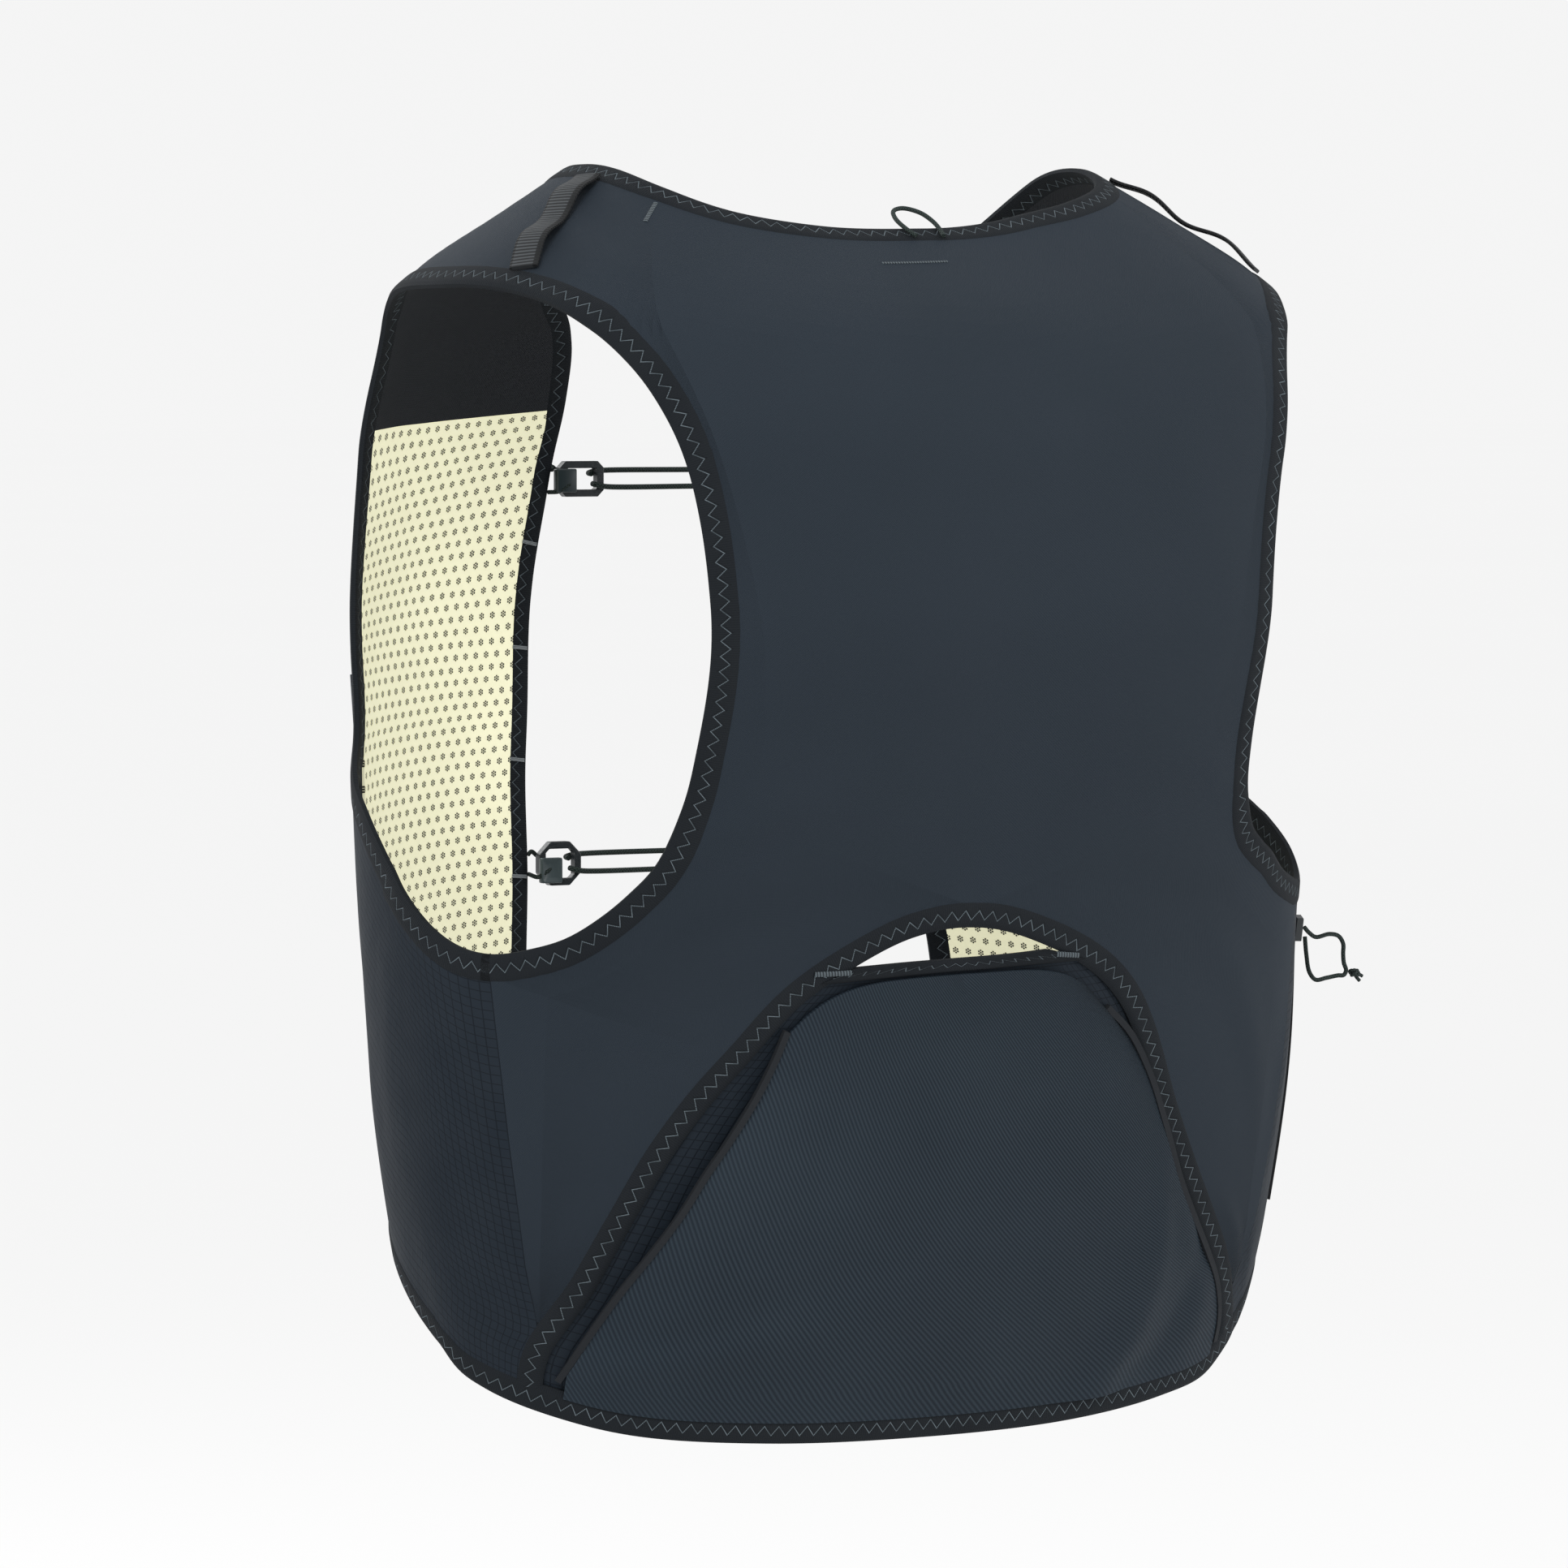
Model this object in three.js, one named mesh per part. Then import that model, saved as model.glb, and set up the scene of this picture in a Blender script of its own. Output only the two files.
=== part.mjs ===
// Running hydration vest, in millimetres, +Z up. X is the wearer's right, Y is the wearer's front.
// Every cloth piece lies on one torso surface, which is addressed by a turn in degrees (0 at the
// middle of the back, +90 at the wearer's right side, 180 at the chest) and a share up the vest.
import * as THREE from "three";
import { mergeGeometries } from "three/addons/utils/BufferGeometryUtils.js";

// Overall sizes
const bodyHeight = 446; // lowest point of the hem to the neck corners
const halfWidth = 179;
const backDepth = 137;
const frontDepth = 111;

// Cloth and trim sizes
const liningOuter = 1.0;
const layerGap = 0.3;
const shellThickness = 1.2;
const bindingWidth = 10;
const bindingThickness = 3;
const archBindingWidth = 10;
const pocketTopBindingWidth = 11;
const seamGap = 0.4;
const hemGap = 0.7;
const seatGap = 0.3;
const linerGap = 0.8;

// Rear pocket
const pocketStandOff = 2.2;
const pocketBulge = 11;
const pocketSideLift = 5;
const pocketThickness = 1.2;
const trimWidth = 2;
const trimThickness = 2.2;

// Shoulder webbing
const webbingWidth = 10;
const webbingThickness = 1.4;
const webbingClearance = 0.8;
const webbingBump = 2.6;
const webbingBumps = 2;

// Flask pockets
const flaskPocketWidth = 78;
const flaskPocketBulge = 15;
const flaskPocketThickness = 1.2;
const flaskPocketInset = 3;
const frontMmPerDegree = 2.2;

// Cords, hooks and zip
const bungeeDiameter = 2;
const loopDiameter = 1.6;
const pullDiameter = 1.6;
const hookLength = 18;
const hookHeight = 13;
const hookThickness = 3.6;
const hookWall = 2.6;
const lowerHookLength = 17;
const lowerHookHeight = 16;
const strandGap = 6;
const cordClearance = 0.7;
const loopSpread = 4.5;
const anchorLength = 12;
const zipWidth = 7;
const zipThickness = 1.2;
const sliderLength = 9;
const sliderWidth = 4.5;
const sliderThickness = 2.6;
const knotDiameter = 5;

// Places on the torso surface, as turns in degrees and shares up the vest
const seamMeetsArch = 0.073;
const legBottom = 0.081;
const archMiddleMark = 11;
const rightArmholeLift = 0.04;
const rightArmholeLiftFrom = 0.5;
const rightArmholeLiftSpan = 0.09;
const facingFrom = 0.81;
const upperHookUp = 0.765;
const lowerHookUp = 0.42;
const webbingNeckTurn = 78;
const webbingArmTurn = 69;
const zipTurn = 79;
const zipTop = 0.388;
const zipBottom = 0.13;
const flaskPocketFarTurn = 122;
const flaskPocketBottom = 0.2;
const flaskPocketTop = 0.6;

// The origin sits between the undersides of the two shoulder straps.
const seatHeight = 0.957 * bodyHeight;

// One row for each loop around the torso. The heights are shares of bodyHeight, the width of
// halfWidth, the reach to the back and the centre's shift of backDepth, the reach to the front of
// frontDepth. Squareness is the exponent of the loop's superellipse.
const sectionColumns = ["up", "side", "back", "front", "width", "toBack", "toFront", "shift", "squareness"];
const sectionRows = [
  [0.0, 0.02, -0.004, 0.031, 0.849, 0.496, 0.739, -0.06, 2.35],
  [0.12, 0.152, 0.121, 0.161, 0.927, 0.562, 0.8, -0.088, 2.35],
  [0.26, 0.287, 0.26, 0.291, 0.972, 0.635, 0.856, -0.088, 2.35],
  [0.4, 0.413, 0.399, 0.417, 0.983, 0.737, 0.901, -0.058, 2.35],
  [0.54, 0.538, 0.538, 0.534, 0.989, 0.891, 0.955, -0.051, 2.35],
  [0.66, 0.659, 0.659, 0.65, 1.0, 1.0, 1.0, -0.058, 2.35],
  [0.78, 0.776, 0.767, 0.758, 1.0, 0.993, 0.991, -0.058, 2.35],
  [0.88, 0.877, 0.852, 0.857, 0.955, 0.876, 0.856, -0.058, 2.35],
  [0.92, 0.917, 0.881, 0.886, 0.855, 0.781, 0.766, -0.051, 2.35],
  [0.96, 0.957, 0.913, 0.915, 0.698, 0.628, 0.613, -0.036, 2.35],
  [1.0, 1.0, 0.944, 0.942, 0.525, 0.453, 0.432, 0.0, 2.3],
];

// Edges of the vest as marks of turn and share up. The side lists are mirrored for the other side.
const frontEdgeLeft = [
  [-157, 0.15], [-158, 0.25], [-158.8, 0.333], [-159.7, 0.41], [-160.3, 0.51], [-161.5, 0.584],
  [-163, 0.68], [-165, 0.76], [-166.3, 0.83], [-164, 0.89], [-157, 0.925], [-146, 0.953],
  [-130, 0.977], [-110, 0.992], [-90, 0.995], [-75, 0.994],
];
const backNeckEdge = [[-58, 0.99], [-39, 0.987], [-20, 0.992], [0, 1.0], [24, 1.0], [40, 0.996], [58, 0.993]];
const frontEdgeRight = [
  [75, 0.995], [90, 0.996], [110, 0.992], [130, 0.977], [146, 0.953], [157, 0.925], [163, 0.89],
  [164.5, 0.83], [162.5, 0.76], [160, 0.68], [157, 0.584], [155.5, 0.51], [154, 0.41], [152, 0.333],
  [151, 0.25], [150, 0.15],
];
const hemEdge = [
  [-157, 0.15], [-138, 0.141], [-120, 0.125], [-105, 0.097], [-94, 0.067], [-85, 0.04], [-75, 0.027],
  [-58, 0.013], [-42, 0.004], [-20, 0.002], [0, 0.003], [20, 0.004], [39, 0.008], [53, 0.014],
  [61, 0.029], [70, 0.05], [80, 0.072], [95, 0.1], [110, 0.12], [130, 0.138], [150, 0.15],
];
const armholeBack = [
  [64.5, 0.377], [57, 0.384], [51, 0.395], [46, 0.413], [42, 0.434], [38.5, 0.46], [36, 0.505],
  [35, 0.55], [34.5, 0.61], [35, 0.67], [36.2, 0.73], [38, 0.778], [40.5, 0.814], [44, 0.845],
  [49, 0.871], [54, 0.886],
];
const armholeOver = [
  [60, 0.896], [68, 0.902], [78, 0.904], [88, 0.903], [98, 0.902], [108, 0.899], [116, 0.892],
  [121.5, 0.878], [124.5, 0.85], [125.2, 0.815], [124, 0.77], [122, 0.72], [120, 0.67], [119, 0.62],
  [118.5, 0.58],
];
const armholeBottom = [[116.5, 0.55], [108, 0.518], [99, 0.493], [92.5, 0.463], [87, 0.427], [80, 0.4], [72, 0.382]];
const archEdge = [
  [-59, 0.0385], [-56.6, 0.058], [-52, 0.08], [-46.8, 0.107], [-40, 0.16], [-33.2, 0.222], [-28, 0.266],
  [-23.5, 0.3], [-17.5, 0.347], [-11, 0.38], [-5.2, 0.401], [0, 0.407], [7.3, 0.39], [14.3, 0.363],
  [18.5, 0.337], [21.6, 0.307], [27.3, 0.237], [32.8, 0.185], [39, 0.139], [45.5, 0.101], [51, 0.07],
  [54.8, 0.046],
];
const pocketLeftEdge = [
  [-55, 0.039], [-52, 0.053], [-47, 0.08], [-40.5, 0.119], [-36, 0.148], [-32, 0.178], [-28.6, 0.21],
  [-25.3, 0.24], [-22, 0.275], [-19.8, 0.305], [-18.6, 0.326],
];
const pocketRightEdge = [
  [51.5, 0.039], [50, 0.056], [45, 0.088], [39.5, 0.118], [34.5, 0.15], [30, 0.187], [26, 0.236],
  [23, 0.276], [19.5, 0.312], [16, 0.334],
];
const pocketTopEdge = [[-11.4, 0.377], [-6, 0.38], [-1, 0.382], [4, 0.384], [7.6, 0.386]];
const sideSeamMarks = [[59.4, 0.125], [59.8, 0.17], [61, 0.24], [63, 0.31]];
const frontSeamMarks = [[117.5, 0.3], [116.8, 0.42]];
const frontSeamHemTurn = 118.5;
const pocketTopLine = [[-15.7, 0.352], [-5, 0.357], [3, 0.36], [12.6, 0.361]];

// Numbers of facets
const frontSeamSteps = 8;
const armholeBackSteps = 13;
const armholeOverSteps = 16;
const armholeBottomSteps = 6;
const sideSeamSteps = 6;
const topEase = 2.5;
const archFacingArmholeSteps = 5;
const shoulderSteps = 3;
const neckHalfSteps = 7;
const cordSides = 8;

// Surface of the torso
function columnCurve(column) {
  // Monotone cubic through the table's rows, so that the surface never overshoots a section.
  const k = sectionColumns.indexOf(column);
  const x = sectionRows.map((row) => row[0]);
  const y = sectionRows.map((row) => row[k]);
  const gap = x.slice(1).map((value, i) => value - x[i]);
  const slope = gap.map((width, i) => (y[i + 1] - y[i]) / width);
  const tangent = y.map((_, i) => {
    if (i === 0) return slope[0];
    if (i === y.length - 1) return slope[i - 1];
    if (slope[i - 1] * slope[i] <= 0) return 0;
    const before = 2 * gap[i] + gap[i - 1];
    const after = gap[i] + 2 * gap[i - 1];
    return (before + after) / (before / slope[i - 1] + after / slope[i]);
  });
  return (up) => {
    let i = 0;
    while (i < gap.length - 1 && up > x[i + 1]) i += 1;
    const u = (up - x[i]) / gap[i];
    const rise = (3 - 2 * u) * u * u;
    return (
      y[i] * (1 - rise) +
      y[i + 1] * rise +
      gap[i] * u * (1 - u) * ((1 - u) * tangent[i] - u * tangent[i + 1])
    );
  };
}
const section = Object.fromEntries(sectionColumns.slice(1).map((name) => [name, columnCurve(name)]));

function surfacePoint(turn, up) {
  const angle = THREE.MathUtils.degToRad(turn);
  const cosine = Math.cos(angle);
  const sine = Math.sin(angle);
  const power = 2 / section.squareness(up);
  const centre = section.shift(up) * backDepth;
  const isBack = cosine > 0;
  const reach = isBack
    ? section.toBack(up) * backDepth + centre
    : section.toFront(up) * frontDepth - centre;
  const middleHeight = isBack ? section.back(up) : section.front(up);
  const towardSide = Math.abs(sine) ** 1.8;
  const height = middleHeight + (section.side(up) - middleHeight) * towardSide;
  return new THREE.Vector3(
    section.width(up) * halfWidth * Math.sign(sine) * Math.abs(sine) ** power,
    centre - Math.sign(cosine) * reach * Math.abs(cosine) ** power,
    height * bodyHeight,
  );
}

function surfaceFrame(turn, up) {
  const turnStep = 1;
  const upStep = 0.004;
  const alongTurn = surfacePoint(turn + turnStep, up)
    .sub(surfacePoint(turn - turnStep, up))
    .divideScalar(2 * turnStep);
  const above = Math.min(1, up + upStep);
  const below = Math.max(0, up - upStep);
  const alongUp = surfacePoint(turn, above)
    .sub(surfacePoint(turn, below))
    .divideScalar(above - below);
  const normal = alongTurn.clone().cross(alongUp).normalize();
  return { alongTurn, alongUp, normal };
}

function liftedPoint([turn, up], lift) {
  const { normal } = surfaceFrame(turn, up);
  return surfacePoint(turn, up).addScaledVector(normal, lift);
}

// A route is a smooth line on the surface, walked by its share of length.
const routeSamples = 600;
const turnScale = 150;
function makeRoute(marks, closed = false) {
  const curve = new THREE.CatmullRomCurve3(
    marks.map(([turn, up]) => new THREE.Vector3(turn / turnScale, up, 0)),
    closed,
    "centripetal",
  );
  const places = [];
  const lengths = [0];
  for (let i = 0; i <= routeSamples; i += 1) {
    const at = curve.getPoint(i / routeSamples);
    places.push([at.x * turnScale, Math.min(1, Math.max(0, at.y))]);
    if (i > 0) {
      const step = surfacePoint(...places[i]).distanceTo(surfacePoint(...places[i - 1]));
      lengths.push(lengths[i - 1] + step);
    }
  }
  const length = lengths[routeSamples];
  const at = (share) => {
    const wanted = THREE.MathUtils.clamp(share, 0, 1) * length;
    let i = 1;
    while (i < routeSamples && lengths[i] < wanted) i += 1;
    const u = (wanted - lengths[i - 1]) / (lengths[i] - lengths[i - 1] || 1);
    return [0, 1].map((k) => places[i - 1][k] * (1 - u) + places[i][k] * u);
  };
  const spans = closed ? marks.length : marks.length - 1;
  const shareOfMark = (index) => lengths[Math.round((index / spans) * routeSamples)] / length;
  // The place beside the route at this share, at a width in the cloth, to the left (+) or right (-).
  const beside = (share, width) => {
    const delta = 0.5 / routeSamples;
    const wrap = (value) => (closed ? (value + 1) % 1 : THREE.MathUtils.clamp(value, 0, 1));
    const place = at(share);
    const travel = surfacePoint(...at(wrap(share + delta)))
      .sub(surfacePoint(...at(wrap(share - delta))))
      .normalize();
    const { alongTurn, alongUp, normal } = surfaceFrame(...place);
    const wantedStep = normal.clone().cross(travel).normalize().multiplyScalar(width);
    const a = alongTurn.dot(alongTurn);
    const b = alongTurn.dot(alongUp);
    const c = alongUp.dot(alongUp);
    const p = alongTurn.dot(wantedStep);
    const q = alongUp.dot(wantedStep);
    const scale = a * c - b * b;
    return [place[0] + (p * c - q * b) / scale, Math.min(1, place[1] + (q * a - p * b) / scale)];
  };
  return { at, beside, length, shareOfMark };
}

function evenly(from, to, steps) {
  return Array.from({ length: steps + 1 }, (_, i) => from + ((to - from) * i) / steps);
}

function mixPlaces(a, b, u) {
  return [a[0] * (1 - u) + b[0] * u, a[1] * (1 - u) + b[1] * u];
}

// Solids
function closedSlab(outer, inner, { wraps = false, isJoined = () => false } = {}) {
  // Two matching grids of points, joined along their edges. A wrapping slab has no end edges, and
  // a joined row has no wall on its last column, because another slab goes on there.
  const rows = outer.length;
  const columns = outer[0].length;
  const points = [...outer.flat(), ...inner.flat()];
  const half = rows * columns;
  const top = (i, j) => (i % rows) * columns + j;
  const under = (i, j) => half + top(i, j);
  const triangles = [];
  const quad = (a, b, c, d) => triangles.push(a, b, c, a, c, d);
  const lastRow = wraps ? rows : rows - 1;
  for (let i = 0; i < lastRow; i += 1) {
    for (let j = 0; j < columns - 1; j += 1) {
      quad(top(i, j), top(i, j + 1), top(i + 1, j + 1), top(i + 1, j));
      quad(under(i, j), under(i + 1, j), under(i + 1, j + 1), under(i, j + 1));
    }
    quad(top(i, 0), top(i + 1, 0), under(i + 1, 0), under(i, 0));
    const last = columns - 1;
    if (!isJoined(i)) quad(top(i + 1, last), top(i, last), under(i, last), under(i + 1, last));
  }
  if (!wraps) {
    for (let j = 0; j < columns - 1; j += 1) {
      quad(top(0, j + 1), top(0, j), under(0, j), under(0, j + 1));
      quad(top(rows - 1, j), top(rows - 1, j + 1), under(rows - 1, j + 1), under(rows - 1, j));
    }
  }
  // The first cell tells whether the grid runs the other way round.
  const across = outer[0][1].clone().sub(outer[0][0]);
  const along = outer[1][0].clone().sub(outer[0][0]);
  const lift = outer[0][0].clone().sub(inner[0][0]);
  if (across.cross(along).dot(lift) < 0) triangles.reverse();
  const geometry = new THREE.BufferGeometry().setFromPoints(points);
  geometry.setIndex(triangles);
  geometry.computeVertexNormals();
  return geometry;
}

function clothSlab(places, low, high, options = {}) {
  const lift = (value, i, j) => (typeof value === "function" ? value(i, j) : value);
  const layer = (value) =>
    places.map((row, i) => row.map((place, j) => liftedPoint(place, lift(value, i, j))));
  return closedSlab(layer(high), layer(low), options);
}

// Places between two matching edges, with the edges as the first and last columns.
function stripPlaces(edgeA, edgeB, columns) {
  return edgeA.map((place, i) => evenly(0, 1, columns).map((u) => mixPlaces(place, edgeB[i], u)));
}

// Places between four edges that meet at the corners, as a Coons patch. A higher ease keeps the
// shape of the top edge nearer to the top.
function patchPlaces(bottom, top, left, right, columns, rows, ease = 1) {
  return evenly(0, 1, rows).map((v) => {
    const rise = v ** ease;
    return evenly(0, 1, columns).map((u) =>
      [0, 1].map((k) => {
        const low = bottom(u)[k] - bottom(0)[k] * (1 - u) - bottom(1)[k] * u;
        const high = top(u)[k] - top(0)[k] * (1 - u) - top(1)[k] * u;
        return left(v)[k] * (1 - u) + right(v)[k] * u + low * (1 - rise) + high * rise;
      }),
    );
  });
}
const pick = (list) => (share) => list[Math.round(share * (list.length - 1))];

function bindingPlaces(route, shares, width, columns = 1) {
  return shares.map((share) => evenly(0, width, columns).map((across) => route.beside(share, across)));
}

const cordSection = (diameter) => {
  const shape = new THREE.Shape();
  for (let i = 0; i < cordSides; i += 1) {
    const angle = (2 * Math.PI * i) / cordSides;
    const place = [(diameter / 2) * Math.cos(angle), (diameter / 2) * Math.sin(angle)];
    if (i === 0) shape.moveTo(...place);
    else shape.lineTo(...place);
  }
  return shape;
};

function cordTube(points, diameter, steps) {
  return new THREE.ExtrudeGeometry(cordSection(diameter), {
    steps,
    extrudePath: new THREE.CatmullRomCurve3(points, false, "centripetal"),
    bevelEnabled: false,
  });
}

function framePlate(length, height, wall, thickness, corner) {
  // A flat frame with cut corners and one window, lying across the chest with its faces to front and back.
  const outline = (Shape, halfLength, halfHeight, cut) => {
    const path = new Shape();
    path.moveTo(-halfLength + cut, -halfHeight);
    path.lineTo(halfLength - cut, -halfHeight);
    path.lineTo(halfLength, -halfHeight + cut);
    path.lineTo(halfLength, halfHeight - cut);
    path.lineTo(halfLength - cut, halfHeight);
    path.lineTo(-halfLength + cut, halfHeight);
    path.lineTo(-halfLength, halfHeight - cut);
    path.lineTo(-halfLength, -halfHeight + cut);
    path.closePath();
    return path;
  };
  const shape = outline(THREE.Shape, length / 2, height / 2, corner);
  shape.holes.push(outline(THREE.Path, length / 2 - wall, height / 2 - wall, corner / 3));
  const geometry = new THREE.ExtrudeGeometry(shape, { depth: thickness, bevelEnabled: false });
  geometry.translate(0, 0, -thickness / 2);
  geometry.rotateX(Math.PI / 2);
  return geometry;
}

// Materials
const looks = {
  shell: { color: 0x323b43, roughness: 0.7 },
  ripstop: { color: 0x2a3138, roughness: 0.6 },
  twill: { color: 0x33404a, roughness: 0.75 },
  binding: { color: 0x262a2d, roughness: 0.85 },
  facing: { color: 0x1f2226, roughness: 0.8 },
  mesh: { color: 0xe9e4bf, roughness: 0.9 },
  webbing: { color: 0x1c1e20, roughness: 0.8 },
  cord: { color: 0x2b3431, roughness: 0.8 },
  plastic: { color: 0x202427, roughness: 0.5 },
};
const vest = new THREE.Group();
const worn = new THREE.Group();
worn.position.z = -seatHeight;
vest.add(worn);
function addPiece(name, look, geometry) {
  const mesh = new THREE.Mesh(geometry, new THREE.MeshStandardMaterial(looks[look]));
  mesh.name = name;
  worn.add(mesh);
  return mesh;
}

// Layers, as lifts from the torso surface
const shellLow = liningOuter + layerGap;
const shellHigh = shellLow + shellThickness;
const panelInset = bindingWidth + seamGap;
const hemInset = bindingWidth + hemGap;

// Routes of the edges
const neckFrontRoute = makeRoute([...frontEdgeLeft, ...backNeckEdge, ...frontEdgeRight]);
const leftShoulderShare = neckFrontRoute.shareOfMark(frontEdgeLeft.length);
const neckMiddleShare = neckFrontRoute.shareOfMark(frontEdgeLeft.length + 3);
const rightShoulderShare = neckFrontRoute.shareOfMark(frontEdgeLeft.length + backNeckEdge.length - 1);
const hemRoute = makeRoute(hemEdge);
const archRoute = makeRoute(archEdge);
const archInset = archBindingWidth + seamGap;
const archMiddle = archRoute.shareOfMark(archMiddleMark);
const frontSteps = frontSeamSteps + armholeOverSteps;

function armholeFor(side) {
  const lifted = ([turn, up]) => {
    const weight = THREE.MathUtils.clamp((rightArmholeLiftFrom - up) / rightArmholeLiftSpan, 0, 1);
    return [side * turn, up + (side > 0 ? rightArmholeLift * weight : 0)];
  };
  const route = makeRoute([...armholeBack, ...armholeOver, ...armholeBottom].map(lifted), true);
  const shoulder = route.shareOfMark(armholeBack.length);
  const front = route.shareOfMark(armholeBack.length + armholeOver.length);
  return {
    route,
    backShares: evenly(0, shoulder, armholeBackSteps),
    overShares: evenly(shoulder, front, armholeOverSteps),
    bottomShares: evenly(front, 1, armholeBottomSteps),
  };
}

const sides = { left: -1, right: 1 };
const armholes = { left: armholeFor(-1), right: armholeFor(1) };
const neckFrontStart = { left: 0, right: 1 };
const shoulderShare = { left: leftShoulderShare, right: rightShoulderShare };

function shareWhere(isPast, from = 0, to = 1) {
  // The share of a route at which a test that starts false turns true.
  let low = from;
  let high = to;
  for (let i = 0; i < 30; i += 1) {
    const middle = (low + high) / 2;
    if (isPast(middle)) high = middle;
    else low = middle;
  }
  return low;
}
// The place just above the hem binding at this turn.
function hemInsetPlace(turn) {
  const share = shareWhere((middle) => hemRoute.beside(middle, hemInset)[0] >= turn);
  return [turn, hemRoute.beside(share, hemInset)[1]];
}
function aboveHem(rows) {
  return rows.map((row) => row.map(([turn, up]) => [turn, Math.max(up, hemInsetPlace(turn)[1])]));
}

const archEnd = { left: 0, right: 1 };
function archShareAt(name, up) {
  const isAbove = (share) => archRoute.beside(share, archInset)[1] >= up;
  if (name === "left") return shareWhere(isAbove, 0, archMiddle);
  return shareWhere((share) => !isAbove(share), archMiddle, 1);
}

function sideSeamFor(name) {
  // The seam leaves the hem along the arch binding and then turns up to the armhole.
  const side = sides[name];
  const meet = archShareAt(name, seamMeetsArch);
  const alongArch = [(archEnd[name] + meet) / 2, meet].map((share) => archRoute.beside(share, archInset));
  const bottom = hemInsetPlace(archRoute.beside(archEnd[name], archInset)[0]);
  const marks = sideSeamMarks.map(([turn, up]) => [side * turn, up]);
  const top = armholes[name].route.beside(0, side * panelInset);
  return makeRoute([bottom, ...alongArch, ...marks, top]);
}
function frontSeamFor(name) {
  const side = sides[name];
  const { route, overShares } = armholes[name];
  const top = route.beside(overShares[armholeOverSteps], side * panelInset);
  const bottom = hemInsetPlace(side * frontSeamHemTurn);
  return makeRoute([bottom, ...frontSeamMarks.map(([turn, up]) => [side * turn, up]), top]);
}
const sideSeams = { left: sideSeamFor("left"), right: sideSeamFor("right") };
function sideSeamSharesFor(name) {
  const legEnd = shareWhere((share) => sideSeams[name].at(share)[1] >= legBottom);
  return [0, legEnd / 2, ...evenly(legEnd, 1, sideSeamSteps)];
}
const sideSeamShares = { left: sideSeamSharesFor("left"), right: sideSeamSharesFor("right") };
const frontSeams = { left: frontSeamFor("left"), right: frontSeamFor("right") };

// Back panel: two halves that meet on the middle line. Each half runs from the outline of side seam
// and armhole in to the arch and the middle line, and up to the shoulder seam and the neck.
const archRows = sideSeamSteps + archFacingArmholeSteps;
const legStart = { left: archShareAt("left", legBottom), right: archShareAt("right", legBottom) };
function backHalf(name) {
  const side = sides[name];
  const { route, backShares } = armholes[name];
  const seam = sideSeams[name];
  const upSeam = sideSeamShares[name].slice(2, -1).map((share) => seam.beside(share, (side * seamGap) / 2));
  const outer = [...upSeam, ...backShares.map((share) => route.beside(share, side * panelInset))];
  const neckShares = evenly(shoulderShare[name], neckMiddleShare, neckHalfSteps);
  const alongNeck = neckShares.map((share) => neckFrontRoute.beside(share, -panelInset));
  const armholeEnd = outer[outer.length - 1];
  const overShoulder = evenly(0, 1, shoulderSteps)
    .slice(0, -1)
    .map((u) => mixPlaces(armholeEnd, alongNeck[0], u));
  const top = [...overShoulder, ...alongNeck];
  const archShares = evenly(legStart[name], archMiddle, archRows);
  const archTop = archRoute.beside(archMiddle, archInset);
  const middleLine = evenly(0, 1, outer.length - 1 - archRows)
    .slice(1)
    .map((u) => mixPlaces(archTop, top[top.length - 1], u));
  const inner = [...archShares.map((share) => archRoute.beside(share, archInset)), ...middleLine];
  const bottom = (u) => mixPlaces(outer[0], inner[0], u);
  const columns = top.length - 1;
  const rows = outer.length - 1;
  const places = patchPlaces(bottom, pick(top), pick(outer), pick(inner), columns, rows, topEase);
  return { places, archShares };
}
const backHalves = { left: backHalf("left"), right: backHalf("right") };
addPiece(
  "back_panel",
  "shell",
  mergeGeometries(
    Object.values(backHalves).map(({ places }) =>
      clothSlab(places, shellLow, shellHigh, { isJoined: (row) => row >= archRows }),
    ),
  ),
);

// Bindings
const archBindingShares = [
  0,
  legStart.left / 2,
  ...backHalves.left.archShares.slice(0, -1),
  ...[...backHalves.right.archShares].reverse(),
  (legStart.right + 1) / 2,
  1,
];
addPiece(
  "arch_binding",
  "binding",
  clothSlab(
    aboveHem(bindingPlaces(archRoute, archBindingShares, archBindingWidth)),
    0,
    bindingThickness,
  ),
);
const hemStart = (bindingWidth + seamGap) / hemRoute.length;
const hemSteps = 56;
addPiece(
  "hem_binding",
  "binding",
  clothSlab(
    bindingPlaces(hemRoute, evenly(hemStart, 1 - hemStart, hemSteps), bindingWidth),
    0,
    bindingThickness,
  ),
);
const neckFrontShares = [
  ...evenly(0, leftShoulderShare, frontSteps).slice(0, -1),
  ...evenly(leftShoulderShare, neckMiddleShare, neckHalfSteps).slice(0, -1),
  ...evenly(neckMiddleShare, rightShoulderShare, neckHalfSteps).slice(0, -1),
  ...evenly(rightShoulderShare, 1, frontSteps),
];
addPiece(
  "neck_front_binding",
  "binding",
  clothSlab(bindingPlaces(neckFrontRoute, neckFrontShares, -bindingWidth), 0, bindingThickness),
);
for (const [name, side] of Object.entries(sides)) {
  const { route, backShares, overShares, bottomShares } = armholes[name];
  const shares = [...backShares.slice(0, -1), ...overShares.slice(0, -1), ...bottomShares.slice(0, -1)];
  addPiece(
    "armhole_binding_" + name,
    "binding",
    clothSlab(bindingPlaces(route, shares, side * bindingWidth), 0, bindingThickness, {
      wraps: true,
    }),
  );
}

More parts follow.
